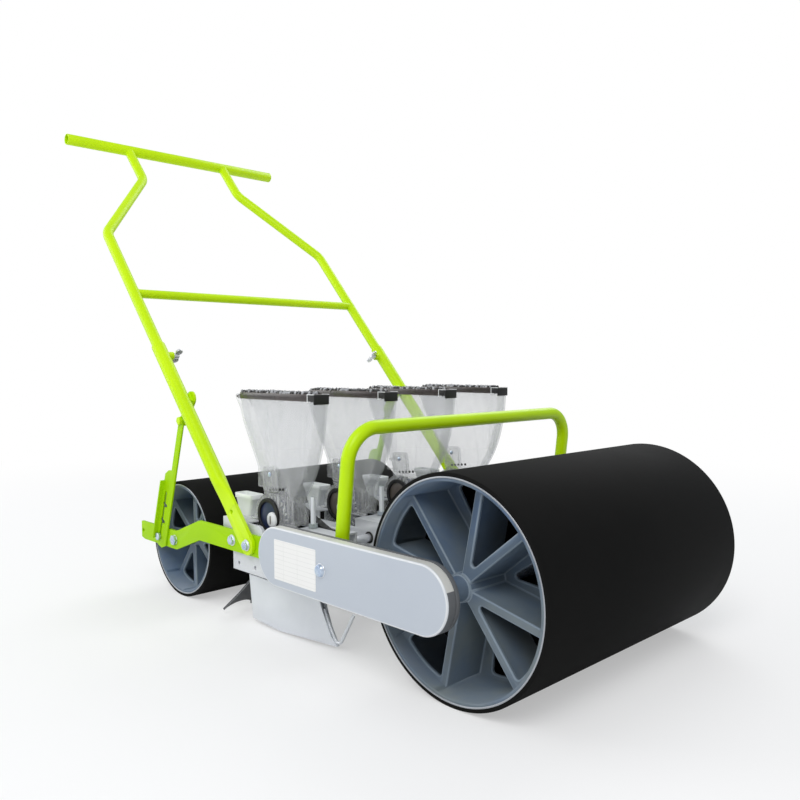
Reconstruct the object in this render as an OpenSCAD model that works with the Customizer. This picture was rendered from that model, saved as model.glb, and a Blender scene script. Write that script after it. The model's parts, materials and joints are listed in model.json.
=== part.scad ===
// Walk-behind seed planter: two drums, a chain drive and a line of seed units
// between them, and a push handle that tilts and telescopes.
// Units are millimetres. Forward is +X, up is +Z, the chain case is on the -Y side.

/* [Drums] */
// Length of both drums
drum_len = 450; // [400:1:520]
// Outer diameter of the front drum, sleeve included
front_d = 276; // [260:1:290]
// Outer diameter of the rear drum, sleeve included
rear_d = 200; // [180:1:215]
// Thickness of the soft sleeve on each drum
sleeve_t = 5; // [3:0.5:8]
// Thickness of the drum's steel shell
shell_t = 2; // [1.5:0.5:4]
// How far the front drum's moulded end sits inside the shell
front_recess = 18; // [10:1:30]
// How far the rear drum's moulded end sits inside the shell
rear_recess = 26; // [10:1:34]
// Depth between the end's front windows and its rear windows
end_depth = 62; // [40:1:80]
// Wall thickness of the moulded end
end_wall = 5; // [3:0.5:7]
// Width of the frame round each window
window_frame = 6.5; // [5:0.5:12]
// Radius of a window's corners
window_round = 4; // [2:0.5:6]
// Angle that one front window spans, walls included
window_angle = 39; // [30:1:50]
// Turn of the front drum's windows
front_turn = 13.5; // [0:0.5:45]
// Turn of the rear drum's windows
rear_turn = 27; // [0:0.5:45]
// Radius of the front axle
front_axle_r = 10; // [8:0.5:12]
// Radius of the rear axle
rear_axle_r = 8; // [6:0.5:10]

/* [Chain drive] */
// Distance from the rear axle to the front axle
wheelbase = 634; // [615:1:660]
// Chain pitch
pitch = 12.7; // [12.6:0.05:12.8]
// Chain pitches between the two sprocket centres
span_links = 22; // [20:2:24]
// Teeth on each sprocket, a multiple of four
teeth = 16; // [12:4:16]
// Radius of the cross shaft that the chain turns
shaft_r = 6; // [5:0.5:7]
// Width of the chain case
case_t = 21; // [19:1:26]
// Sheet thickness of the chain case
case_wall = 2; // [1.5:0.5:2.5]
// Gap between the chain and the case all round
case_gap = 1.4; // [1:0.1:4]

/* [Frame] */
// Gap between a drum's end and the side plate
side_gap = 14; // [12:1:25]
// Thickness of the side plates and front arms
plate_t = 5; // [4:0.5:6]
// Thickness of the rear arms
arm_t = 5; // [4:0.5:6]
// How far the rear end of each arm is set in towards its drum
arm_set = 12; // [8:1:13]
// Height of the rear arm's strip
arm_h = 32; // [28:1:36]
// Outer width of the cross tubes
cross_w = 26; // [20:1:30]
// Outer height of the cross tubes
cross_h = 25; // [20:1:30]
// Wall of the cross tubes
cross_wall = 2; // [1.5:0.5:3]
// Radius of the front loop's tube
loop_r = 9.5; // [8:0.5:11]
// Height of the front loop's bar above the ground
loop_top = 318; // [290:1:360]
// Bend radius of the front loop
loop_bend = 45; // [30:1:70]
// Radius of the hitch hole at the rear of each arm
hitch_r = 4; // [3:0.5:5]

/* [Handle] */
// Angle of the handle above the horizontal
handle_angle = 48; // [44:0.2:54]
// Distance along the leg from its pivot to the top of its sleeve
sleeve_len = 404; // [380:1:440]
// Distance from the pivot to the first bend of the upper tubes
bend_low = 695; // [660:1:740]
// Distance from the pivot to the second bend of the upper tubes
bend_high = 886; // [850:1:930]
// Distance from the pivot to the cross bar
bar_at = 985; // [955:1:1030]
// Distance from the pivot to the brace
brace_at = 533; // [500:1:580]
// Radius of the cross bar
bar_r = 11; // [10:0.5:13]
// Wall of the cross bar
bar_wall = 1.5; // [1:0.25:2.5]
// Length of the cross bar
bar_len = 496; // [440:2:560]
// Half of the distance between the upper tubes at the cross bar
bar_joint = 115; // [90:1:160]
// Radius of the upper tubes
tube_r = 9.5; // [8:0.5:10.5]
// Wall of the upper tubes
tube_wall = 1.5; // [1:0.25:2]
// Wall of the sleeve that the upper tube slides in
leg_wall = 1.9; // [1.5:0.1:2.5]
// Length of upper tube inside the sleeve
insert_len = 150; // [120:1:200]
// Radius of the brace
brace_r = 8; // [6:0.5:9]
// Thickness of the leg's flattened end
leg_flat_t = 6; // [5:0.5:7]
// Length of the leg's flattened end above the pivot
leg_flat_len = 92; // [70:1:110]
// Thickness of the strut
strut_t = 3; // [2.5:0.5:4]
// Width of the strut's upper strip
strut_w = 15; // [13:0.5:18]
// How far the strut's slot lies behind its top bolt
slot_back = 16; // [14:0.5:18]
// Length of the strut's slot above its bolt
slot_len = 84; // [78:1:92]

/* [Seed units] */
// Number of seed units
units = 4; // [4:1:4]
// Gap between an outer unit and the side plate
unit_gap = 1.5; // [1:0.5:6]
// Distance of the seed wheel's axle behind the cross shaft
wheel_back = 97.6; // [95:0.1:102]
// Height of the seed wheel's axle above the ground
wheel_z = 166; // [164:1:172]
// Radius of the seed wheel
wheel_r = 38; // [34:0.5:39]
// Thickness of the seed wheel
wheel_t = 8; // [6:0.5:10]
// Number of seed cells round the wheel
cells = 24; // [12:1:30]
// Radius of a seed cell
cell_r = 2.4; // [1.5:0.1:3]
// Outer width of a hopper
hopper_w = 25; // [24:0.5:27]
// Wall of the clear mouldings
clear_wall = 2; // [1.5:0.25:2.5]
// Length of a hopper at its lid
hopper_len = 192; // [180:1:200]
// Height of a hopper
hopper_h = 141; // [120:1:170]
// Length of the neck below a hopper
neck_len = 76; // [68:1:84]
// Height of a lid
lid_h = 10; // [8:0.5:14]
// Length of the black block at the front end of a hopper's rim
latch_len = 14; // [10:1:24]
// Width of a unit's base
base_w = 70; // [68:1:71]
// Sheet thickness of a unit's base
base_t = 2.5; // [2:0.25:3]
// Sheet thickness of an opener
opener_t = 2; // [1.5:0.25:3]
// Outer width of an opener at its rear
opener_w = 28; // [24:1:32]
// Radius of the opener's wire bow
wire_r = 2.5; // [2:0.25:3.5]
// Radius of the depth rod
rod_r = 4; // [3:0.5:4.5]

/* [Fits] */
// Radial clearance of every turning or sliding round fit
run_fit = 0.05; // [0.02:0.01:0.08]
// Gap between pieces that lie face to face on different bodies
face_gap = 0.3; // [0.2:0.05:0.5]

/* [Hidden] */
$fn = 48;

green = [0.62, 0.84, 0.05];
silver = [0.74, 0.76, 0.8];
dark_blue = [0.22, 0.26, 0.32];
black = [0.08, 0.08, 0.09];
clear = [0.85, 0.87, 0.9, 0.4];
smoke = [0.3, 0.28, 0.27, 0.7];
steel = [0.7, 0.72, 0.76];
white = [0.92, 0.92, 0.93];

front_r = front_d / 2;
rear_r = rear_d / 2;

// Layers outward from a drum's end, as distances from the middle plane
y_drum = drum_len / 2;
y_plate = y_drum + side_gap;
y_arm = y_plate + plate_t;
y_leg = y_arm + arm_t;
y_leg_out = y_leg + leg_flat_t;
y_case = y_leg + plate_t;
y_cover = y_case + case_t;
y_tube = y_leg + leg_flat_t / 2;
y_set = y_arm - arm_set;
y_set_out = y_leg - arm_set;

// Chain drive
shaft_x = wheelbase - span_links * pitch;
shaft_z = front_r;
pitch_r = pitch / (2 * sin(180 / teeth));
roller_r = 3.97;
seat_gap = 0.25;
tooth_rise = 3.2;
tip_cut = 1.9;
tip_at = 3.9;
plate_half = 5.2;
case_r = pitch_r + plate_half + case_gap + case_wall;
sprocket_t = 7;
sprocket_y = (y_case + y_cover) / 2;
screw_x = shaft_x + 100;
screw_head_h = 4;

// Side plates and rear arms
plate_x0 = shaft_x - 164;
plate_x1 = shaft_x + 53;
plate_low = shaft_z - 49.5;
plate_cut = 8;
tube_x0 = plate_x0 + plate_cut;
pivot_x = shaft_x - 101.6;
pivot_z = shaft_z - 3.5;
arm_mid_z = shaft_z - 4.4;
rear_bolt_x = pivot_x - 49;
arm_rear_x = -125;
arm_knee = [5, 104];
arm_x1 = plate_x1 - 8;
slot_bolt_x = -49.5;
hitch_x = arm_rear_x + 6.5;
bolt_r = 4;
slot_bolt_r = 2.5;
slot_half = 3;
axle_head_r = 9;
head_r = 7;
head_h = 5;
hub_r = front_axle_r + 6;

// Seed units, placed from the seed wheel's axle
wheel_x = shaft_x - wheel_back;
base_top = wheel_z - 2.5;
cross_top = base_top - 51.5;
base_x0 = wheel_x - 97;
base_x1 = plate_x1 - 5;
chamber_r = wheel_r + 1.5;
axle_r = 6;
drop_half = 14;
drop_z = cross_top - 16;
neck_z = wheel_z + wheel_r + 3.5;
neck_x0 = wheel_x - 16;
hopper_x0 = wheel_x - 82;
hopper_z1 = neck_z + hopper_h;
hopper_x1 = hopper_x0 + hopper_len;
hinge_x = hopper_x0 - 5;
hinge_z = hopper_z1 + 4;
hinge_pin_r = 2;
cover_y0 = hopper_w / 2 + 3.5;
knob_r = 12;
knob_y = hopper_w / 2 + 14;
grip_r = knob_r + 2.5;
cover_t = 12;
cover_big = 32;
cover_small = 22;
rod_x = wheel_x + 78;
rod_y = 9;

// Handle, worked out along the leg from its pivot
tube_fit = 0.08;
sleeve_r = tube_r + tube_fit + leg_wall;
lug_s = 275;
lug_n = 45.6;
lug_t = 4;
lug_x = pivot_x - cos(handle_angle) * lug_s - sin(handle_angle) * lug_n;
lug_z = pivot_z + sin(handle_angle) * lug_s - cos(handle_angle) * lug_n;
slot_bolt_z = rear_r - 0.5;
strut_reach = norm([slot_bolt_x - lug_x, slot_bolt_z - lug_z]);
strut_len = sqrt(strut_reach * strut_reach - slot_back * slot_back);
strut_turn = atan2(lug_x - slot_bolt_x, lug_z - slot_bolt_z) - asin(slot_back / strut_reach);
strut_y = y_set_out + face_gap;
wing_s = sleeve_len - 23;

// Middle of the whole machine, moved to the origin
x_front = wheelbase + front_r;
x_back = pivot_x - cos(handle_angle) * bar_at - bar_r;
mid_x = (x_front + x_back) / 2;
mid_y = (y_tube + sleeve_r - y_cover - screw_head_h) / 2;

// A bend reaches this far into its straight bars, and is this much thinner
bend_lap = 0.5;
bend_thin = 0.05;

unit_pitch = (2 * (y_plate - unit_gap) - base_w) / (units - 1);
function unit_y(i) = (i - (units - 1) / 2) * unit_pitch;
function bezier(p, n) = [for (i = [0:n]) let (t = i / n, s = 1 - t)
    s * s * s * p[0] + 3 * s * s * t * p[1] + 3 * s * t * t * p[2] + t * t * t * p[3]];
function unit_vec(v) = v / norm(v);

module place() translate([-mid_x, -mid_y, 0]) children();
module far() mirror([0, 1, 0]) children();

// Extrudes an outline drawn in x and z between two y planes
module slab(y0, y1) translate([0, y1, 0]) rotate([90, 0, 0]) linear_extrude(y1 - y0) children();

// Round bar along Y
module pin(x, z, r, y0, y1) translate([x, y0, z]) rotate([-90, 0, 0]) cylinder(r = r, h = y1 - y0);

// Flat strip between two points given in x and z, round at both ends, with sides that run
// smoothly into the ends where their radii differ
module link(p, q, rp, rq, y0, y1) {
    u = unit_vec(q - p);
    lift = (rp - rq) / norm(q - p);
    side = sqrt(1 - lift * lift) * [-u[1], u[0]];
    upper = side + lift * u;
    lower = lift * u - side;
    pin(p[0], p[1], rp, y0, y1);
    pin(q[0], q[1], rq, y0, y1);
    slab(y0, y1) polygon([p + upper * rp, q + upper * rq, q + lower * rq, p + lower * rp]);
}

// Round bar between two points
module rod(p, q, r) {
    d = q - p;
    translate(p) rotate([0, acos(d[2] / norm(d)), atan2(d[1], d[0])]) cylinder(r = r, h = norm(d));
}

// Part of a ring that joins two directions at a corner. It is a hair thinner than the straight
// bars and reaches a little way into both, as a bent tube thins where it bends.
module elbow(corner, u, v, bend, r) {
    turn = acos(u * v);
    lap = bend_lap / bend * 180 / PI;
    start = corner - u * bend * tan(turn / 2);
    side = unit_vec(v - u * (u * v));
    centre = start + side * bend;
    up = cross(-side, u);
    multmatrix([
        [-side[0], u[0], up[0], centre[0]],
        [-side[1], u[1], up[1], centre[1]],
        [-side[2], u[2], up[2], centre[2]],
        [0, 0, 0, 1]
    ]) rotate(-lap) rotate_extrude(angle = turn + 2 * lap) translate([bend, 0]) circle(r - bend_thin);
}

// Bar through a row of points, with the same bend at each inner point
module bent_bar(pts, bend, r) {
    last = len(pts) - 1;
    dirs = [for (i = [0:last - 1]) unit_vec(pts[i + 1] - pts[i])];
    cut = [for (i = [0:last]) i == 0 || i == last ? 0 : bend * tan(acos(dirs[i - 1] * dirs[i]) / 2)];
    union() {
        for (i = [0:last - 1])
            rod(pts[i] + dirs[i] * cut[i], pts[i + 1] - dirs[i] * cut[i + 1], r);
        for (i = [1:last - 1]) elbow(pts[i], dirs[i - 1], dirs[i], bend, r);
    }
}

// Bolt from y0 to y1, with a hexagon head at y0 and a nut at y1 where they are asked for
module bolt(x, z, r, y0, y1, head, nut) {
    pin(x, z, r, head ? y0 - head_h : y0, nut ? y1 + head_h : y1);
    if (head) translate([x, y0 - head_h, z]) rotate([-90, 0, 0])
        cylinder(r = head_r, h = head_h, $fn = 6);
    if (nut) translate([x, y1, z]) rotate([-90, 0, 0]) cylinder(r = head_r, h = head_h, $fn = 6);
}

// Drums

module drum_tube(x, r, t) difference() {
    pin(x, r, r, -y_drum, y_drum);
    pin(x, r, r - t, -y_drum - 1, y_drum + 1);
}

function dir(a) = [cos(a), sin(a)];
function arc(centre, r, a0, a1, n) = [for (i = [0:n]) centre + r * dir(a0 + (a1 - a0) * i / n)];

// Triangular window with round corners, between two radii and centred on an angle
module window2d(angle, r_in, r_out) {
    half = window_angle / 2;
    rc = window_round;
    apex = window_frame / sin(half) + r_in / 3;
    // Turn at which an outer corner touches the outer circle and one straight side
    turn = half - asin((apex * sin(half) + rc) / (r_out - rc));
    rotate(angle) polygon(concat(
        arc([0, 0], r_out, -turn, turn, 8),
        arc((r_out - rc) * dir(turn), rc, turn + 20, 90 + half, 3),
        arc([apex + rc / sin(half), 0], rc, 90 + half, 270 - half, 4),
        arc((r_out - rc) * dir(-turn), rc, 270 - half, 340 - turn, 3)
    ));
}

// Sector of a disc, used to split the end into front and rear faces
module sector2d(angle, width, r) rotate(angle) intersection() {
    circle(r);
    reach = r * 1.5;
    polygon([[0, 0], [reach * cos(width / 2), reach * sin(width / 2)],
        [reach * cos(width / 2), -reach * sin(width / 2)]]);
}

// Moulded end: four windowed faces at the front, four set back, and deep walls between them.
// It is drawn at the origin with its outer face at y_drum on the -Y side.
module drum_end(r, recess, turn, bore, boss_out) {
    inner = r - sleeve_t - shell_t;
    ring = inner - 4;
    y0 = -y_drum + recess;
    y1 = y0 + end_depth;
    hub = bore + 7;
    difference() {
        union() {
            slab(-y_drum + 1, y1 + end_wall) difference() { circle(inner); circle(ring); }
            for (k = [0:3]) {
                slab(y0, y0 + end_wall) difference() {
                    sector2d(turn + 45 + 90 * k, window_angle, ring + 0.5);
                    window2d(turn + 45 + 90 * k, hub, ring - window_frame);
                }
                slab(y1, y1 + end_wall) difference() {
                    sector2d(turn + 90 * k, 90 - window_angle, ring + 0.5);
                    window2d(turn + 90 * k, hub, ring - window_frame);
                }
                for (s = [-1, 1])
                    slab(y0, y1 + end_wall) rotate(turn + 45 + 90 * k + s * window_angle / 2)
                        translate([hub / 2, -end_wall / 2]) square([ring + 0.5 - hub / 2, end_wall]);
            }
            pin(0, 0, hub, y0 - 2, y1 + end_wall + 4);
            pin(0, 0, bore + 5, -boss_out, y0);
        }
        pin(0, 0, bore, -boss_out - 1, y1 + end_wall + 5);
    }
}

module front_sleeve() color(black) place() drum_tube(wheelbase, front_r, sleeve_t);
module rear_sleeve() color(black) place() drum_tube(0, rear_r, sleeve_t);

module front_shell() color(steel) place() translate([0, 0, sleeve_t])
    drum_tube(wheelbase, front_r - sleeve_t, shell_t);
module rear_shell() color(steel) place() translate([0, 0, sleeve_t])
    drum_tube(0, rear_r - sleeve_t, shell_t);

module front_end_near() color(dark_blue) place() translate([wheelbase, 0, front_r])
    drum_end(front_r, front_recess, front_turn, front_axle_r, y_leg - face_gap);
module front_end_far() color(dark_blue) place() translate([wheelbase, 0, front_r]) far()
    drum_end(front_r, front_recess, front_turn, front_axle_r, y_leg - face_gap);

module rear_end_near() color(dark_blue) place() translate([0, 0, rear_r])
    drum_end(rear_r, rear_recess, rear_turn, rear_axle_r + run_fit, y_set - face_gap);
module rear_end_far() color(dark_blue) place() translate([0, 0, rear_r]) far()
    drum_end(rear_r, rear_recess, rear_turn, rear_axle_r + run_fit, y_set - face_gap);

// The rear axle is fixed between the arms
module rear_axle() color(steel) place() {
    pin(0, rear_r, rear_axle_r, -y_set_out, y_set_out);
    for (s = [-1, 1]) translate([0, s * (y_set_out + head_h / 2), rear_r]) rotate([90, 0, 0])
        cylinder(r = axle_head_r, h = head_h, center = true, $fn = 6);
}

// Sprocket with a seat for each roller
module sprocket2d() difference() {
    circle(pitch_r + tooth_rise);
    for (k = [0:teeth - 1]) rotate(k * 360 / teeth) {
        translate([pitch_r, 0]) circle(roller_r + seat_gap);
        translate([pitch_r + tip_at, 0]) circle(roller_r + tip_cut);
    }
}

module sprocket(x) {
    slab(-sprocket_y - sprocket_t / 2, -sprocket_y + sprocket_t / 2) translate([x, shaft_z]) sprocket2d();
}

module front_axle() color(steel) place() {
    pin(wheelbase, front_r, front_axle_r, -sprocket_y - sprocket_t, y_case + 6);
    pin(wheelbase, front_r, front_axle_r + 3, y_case + face_gap, y_case + 4);
    sprocket(wheelbase);
}

module drive_shaft() color(steel) place() {
    pin(shaft_x, shaft_z, shaft_r, -sprocket_y - sprocket_t, y_leg + 6);
    pin(shaft_x, shaft_z, shaft_r + 3, y_leg + face_gap, y_leg + 4);
    sprocket(shaft_x);
}

// Places of the chain's rollers, round both sprockets
half_turn = teeth / 2;
chain_count = 2 * span_links + teeth;
function roller_at(k) =
    k < span_links ? [shaft_x + k * pitch, shaft_z + pitch_r] :
    k < span_links + half_turn ?
        [wheelbase, shaft_z] + pitch_r * [sin((k - span_links) * 360 / teeth),
            cos((k - span_links) * 360 / teeth)] :
    k < 2 * span_links + half_turn ?
        [wheelbase - (k - span_links - half_turn) * pitch, shaft_z - pitch_r] :
        [shaft_x, shaft_z] - pitch_r * [sin((k - 2 * span_links - half_turn) * 360 / teeth),
            cos((k - 2 * span_links - half_turn) * 360 / teeth)];

module chain() color(steel) place() {
    inner_half = sprocket_t / 2 + 0.5;
    for (k = [0:chain_count - 1]) {
        p = roller_at(k);
        q = roller_at((k + 1) % chain_count);
        shift = k % 2 == 0 ? inner_half : inner_half + 1.2;
        pin(p[0], p[1], roller_r, -sprocket_y - inner_half, -sprocket_y + inner_half);
        pin(p[0], p[1], 1.8, -sprocket_y - inner_half - 2.6, -sprocket_y + inner_half + 2.6);
        for (s = [-1, 1])
            link(p, q, plate_half, plate_half, -sprocket_y + s * (shift + 0.6) - 0.6,
                -sprocket_y + s * (shift + 0.6) + 0.6);
    }
}

// Frame

module case_body(r, y0, y1) link([shaft_x, shaft_z], [wheelbase, shaft_z], r, r, y0, y1);

module chain_case_back() color(silver) place() difference() {
    union() case_body(case_r, -y_case - 6, -y_case);
    case_body(case_r - case_wall, -y_case - 7, -y_case - case_wall);
    pin(wheelbase, shaft_z, front_axle_r + 6, -y_case - 7, -y_case + 1);
    pin(shaft_x, shaft_z, shaft_r + 5, -y_case - 7, -y_case + 1);
}

module chain_case_cover() color(silver) place() difference() {
    union() case_body(case_r, -y_cover, -y_case - 6);
    case_body(case_r - case_wall, -y_cover + case_wall, -y_case - 5);
    pin(screw_x, shaft_z, 3 + run_fit, -y_cover - 1, -y_cover + case_wall + 1);
}

// Near front arm, which carries the front axle behind the chain case
module front_arm() difference() {
    union() link([shaft_x - 36, shaft_z - 8], [wheelbase, shaft_z], 26, 28, -y_case, -y_leg);
    pin(wheelbase, shaft_z, front_axle_r + 6, -y_case - 1, -y_leg + 1);
    pin(shaft_x, shaft_z, shaft_r + 5, -y_case - 1, -y_leg + 1);
    for (x = frame_bolt_x) pin(x, arm_mid_z, bolt_r, -y_case - 1, -y_leg + 1);
    for (z = loop_bolt_z) pin(loop_x(z), z, bolt_r, -y_case - 1, -y_leg + 1);
}
module front_arm_near() color(silver) place() front_arm();
module front_arm_far() color(silver) place() far() front_arm();

frame_bolt_x = [shaft_x - 54, shaft_x + 34];
spare_hole_x = [16, 59.5];

module side_plate() difference() {
    r = 12;
    step_x = pivot_x + 26;
    low_x0 = plate_x0 + plate_cut;
    ear_z = cross_top + 5;
    slab(-y_arm, -y_plate) union() {
        translate([low_x0, plate_low]) square([plate_x1 - low_x0, arm_mid_z + 17 - plate_low]);
        translate([low_x0, plate_low]) square([step_x - r - low_x0, base_top - plate_low]);
        translate([low_x0, plate_low]) square([step_x - low_x0, base_top - r - plate_low]);
        translate([plate_x0, ear_z]) square([plate_cut + 1, arm_mid_z + 15 - ear_z]);
        translate([step_x - r, base_top - r]) circle(r);
    }
    pin(shaft_x, shaft_z, shaft_r + 3, -y_arm - 1, -y_plate + 1);
    for (x = concat(frame_bolt_x, [rear_bolt_x])) pin(x, arm_mid_z, bolt_r, -y_arm - 1, -y_plate + 1);
    pin(pivot_x, pivot_z, bolt_r, -y_arm - 1, -y_plate + 1);
    for (x = spare_hole_x) pin(low_x0 + x, plate_low + 11, 3, -y_arm - 1, -y_plate + 1);
}
module side_plate_near() color(silver) place() side_plate();
module side_plate_far() color(silver) place() far() side_plate();

module cross_tube(x0) difference() {
    slab(-y_plate, y_plate) translate([x0, cross_top - cross_h]) square([cross_w, cross_h]);
    slab(-y_plate - 1, y_plate + 1) translate([x0 + cross_wall, cross_top - cross_h + cross_wall])
        square([cross_w - 2 * cross_wall, cross_h - 2 * cross_wall]);
}
module cross_tubes() color(silver) place() {
    cross_tube(tube_x0);
    cross_tube(base_x1 - cross_w);
}

// Rear arm: a strip that steps up and outwards from the rear axle to the side plate
module arm() difference() {
    low = rear_r - arm_h / 2;
    high = arm_mid_z - arm_h / 2;
    intersection() {
        slab(-y_leg, -y_set) polygon([
            [arm_rear_x, low + 3], [arm_rear_x + 12, low], [arm_knee[0], low], [arm_knee[1], high],
            [arm_x1, high], [arm_x1, high + arm_h], [arm_knee[1], high + arm_h],
            [arm_knee[0], low + arm_h], [arm_rear_x, low + arm_h]
        ]);
        linear_extrude(high + 2 * arm_h) polygon([
            [arm_rear_x, -y_set], [arm_knee[0], -y_set], [arm_knee[1], -y_arm], [arm_x1, -y_arm],
            [arm_x1, -y_leg], [arm_knee[1], -y_leg], [arm_knee[0], -y_set_out], [arm_rear_x, -y_set_out]
        ]);
    }
    pin(hitch_x, rear_r - 1, hitch_r, -y_leg, -y_set + 1);
    pin(slot_bolt_x, slot_bolt_z, slot_bolt_r, -y_leg, -y_set + 1);
    pin(0, rear_r, rear_axle_r, -y_leg, -y_set + 1);
    pin(pivot_x, pivot_z, bolt_r, -y_leg - 1, -y_arm + 1);
    pin(shaft_x, shaft_z, shaft_r + 3, -y_leg - 1, -y_arm + 1);
    for (x = concat(frame_bolt_x, [rear_bolt_x])) pin(x, arm_mid_z, bolt_r, -y_leg - 1, -y_arm + 1);
}
module arm_near() color(green) place() arm();
module arm_far() color(green) place() far() arm();

// Front loop, bolted to the inner faces of the front arms
loop_y = y_leg - loop_r;
loop_foot = shaft_z - 26;
loop_lean = 7;
function loop_x(z) = shaft_x + 94 + (z - loop_foot) * tan(loop_lean);
loop_bolt_z = [shaft_z - 16, shaft_z + 14];
module front_loop() color(green) place() difference() {
    foot = [loop_x(loop_foot), -loop_y, loop_foot];
    head = [loop_x(loop_top), -loop_y, loop_top];
    ends = [foot, head, [head[0], loop_y, head[2]], [foot[0], loop_y, foot[2]]];
    bent_bar(ends, loop_bend, loop_r);
    for (s = [-1, 1], z = loop_bolt_z)
        translate([loop_x(z), s * loop_y, z]) rotate([90, 0, 0])
            cylinder(r = bolt_r, h = 4 * loop_r, center = true);
}

// Pieces that turn in the frame run in these rings
module ring(x, z, r_in, r_out, y0, y1) difference() {
    pin(x, z, r_out, y0, y1);
    pin(x, z, r_in, y0 - 1, y1 + 1);
}
module bushes() color(black) place() {
    ring(wheelbase, front_r, front_axle_r + run_fit, front_axle_r + 6, -y_case - case_wall, -y_leg);
    ring(wheelbase, front_r, front_axle_r + run_fit, front_axle_r + 6, y_leg, y_case);
    ring(shaft_x, shaft_z, shaft_r + run_fit, shaft_r + 3, -y_leg, -y_plate);
    ring(shaft_x, shaft_z, shaft_r + run_fit, shaft_r + 3, y_plate, y_leg);
    for (i = [0:units - 1], s = [-1, 1])
        translate([0, unit_y(i) + s * (base_w / 2 - base_t / 2), 0])
            ring(shaft_x, shaft_z, shaft_r + run_fit, shaft_r + 3, -base_t / 2 - 1, base_t / 2 + 1);
}

module frame_bolts() color(steel) place() {
    for (s = [0, 1]) mirror([0, s, 0]) {
        bolt(frame_bolt_x[0], arm_mid_z, bolt_r, -y_case, -y_plate, true, false);
        bolt(frame_bolt_x[1], arm_mid_z, bolt_r, -y_case, -y_plate, s == 1, false);
        bolt(pivot_x, pivot_z, bolt_r - run_fit, -y_leg_out - face_gap, -y_plate, true, false);
        bolt(rear_bolt_x, arm_mid_z, bolt_r, -y_leg, -y_plate, true, false);
        bolt(slot_bolt_x, slot_bolt_z, slot_bolt_r, -strut_y - strut_t - face_gap, -y_set, true, true);
        for (z = loop_bolt_z) bolt(loop_x(z), z, bolt_r, -y_case, -loop_y + loop_r, s == 1, true);
    }
    pin(screw_x, shaft_z, 3, -y_cover, -y_case - case_wall);
    translate([screw_x, -y_cover, shaft_z]) rotate([90, 0, 0])
        cylinder(r1 = 9, r2 = 7, h = screw_head_h);
}

// Handle

// Turns a piece drawn along +X from the pivot to the handle's angle, with +Z to its upper side
module on_leg() translate([pivot_x, 0, pivot_z]) rotate([0, handle_angle, 0])
    mirror([1, 0, 0]) children();

module leg() on_leg() {
    lug_out = -y_set_out;
    lug_in = -y_tube + tube_r + 1;
    difference() {
        union() {
            link([0, 0], [leg_flat_len, 0], 15, 15, -y_leg_out, -y_leg - face_gap);
            translate([leg_flat_len - 8, -y_tube, 0]) rotate([0, 90, 0])
                cylinder(r = sleeve_r, h = sleeve_len - leg_flat_len + 8);
            link([lug_s + 10, 0], [lug_s, -lug_n], 12, 9, lug_out, lug_out + lug_t);
            translate([lug_s + 2, lug_in, -4]) cube([16, lug_out + lug_t - lug_in, 8]);
            translate([wing_s, -y_tube, 0]) rotate([-90, 0, 0]) cylinder(r = 7, h = sleeve_r + 7);
        }
        translate([sleeve_len - insert_len - 30, -y_tube, 0]) rotate([0, 90, 0])
            cylinder(r = tube_r + tube_fit, h = insert_len + 31);
        pin(0, 0, bolt_r, -y_leg_out - 1, -y_leg + 1);
        pin(60, 0, 3.5, -y_leg_out - 1, -y_leg + 1);
        translate([wing_s, -y_tube, 0]) rotate([-90, 0, 0])
            cylinder(r = 3 + run_fit, h = sleeve_r + 8);
    }
    bolt(lug_s, -lug_n, bolt_r, -strut_y - strut_t - face_gap, lug_out + lug_t, true, true);
}
module leg_near() color(green) place() leg();
module leg_far() color(green) place() far() leg();

// Cross bar, both bent tubes and the brace, welded into one frame
module handle_upper() color(green) place() on_leg() difference() {
    s0 = sleeve_len - insert_len;
    union() {
        rod([bar_at, -bar_len / 2, 0], [bar_at, bar_len / 2, 0], bar_r);
        rod([brace_at, -y_tube, 0], [brace_at, y_tube, 0], brace_r);
        for (s = [-1, 1]) bent_bar([
            [s0, s * y_tube, 0], [bend_low, s * y_tube, 0], [bend_high, s * bar_joint, 0],
            [bar_at, s * bar_joint, 0]
        ], 40, tube_r);
    }
    rod([bar_at, -bar_len / 2 - 1, 0], [bar_at, bar_len / 2 + 1, 0], bar_r - bar_wall);
    for (s = [-1, 1]) rod([s0 - 1, s * y_tube, 0], [brace_at - 30, s * y_tube, 0], tube_r - tube_wall);
}

// Strut drawn along +X from its top bolt, with +Z to its front side
module on_strut() translate([lug_x, 0, lug_z]) rotate([0, 90 + strut_turn, 0]) children();

module strut() on_strut() difference() {
    step = strut_len - slot_len - 34;
    rear = -slot_back - head_r - strut_t - 1;
    front = strut_w / 2;
    foot = strut_len + 17;
    union() {
        link([0, 0], [step + 20, 0], front, front, -strut_y - strut_t, -strut_y);
        slab(-strut_y - strut_t, -strut_y) polygon([
            [step - 12, -front], [step - 8, rear + 9], [step + 2, rear], [foot - 9, rear],
            [foot, rear + 10], [foot, front - 12], [foot - 9, front], [step, front]
        ]);
        slab(-strut_y - strut_t - 8, -strut_y - strut_t)
            translate([step + 14, rear]) square([strut_len - step - 8, strut_t]);
    }
    pin(0, 0, bolt_r + run_fit, -strut_y - strut_t - 1, -strut_y + 1);
    link([strut_len - slot_len, -slot_back], [strut_len, -slot_back], slot_half, slot_half,
        -strut_y - strut_t - 1, -strut_y + 1);
    for (t = [strut_len - 62, strut_len - 31])
        link([t, -slot_back - 2], [t, -slot_back + 7], 3.5, 3.5, -strut_y - strut_t - 1, -strut_y + 1);
}
module strut_near() color(green) place() strut();
module strut_far() color(green) place() far() strut();

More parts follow.
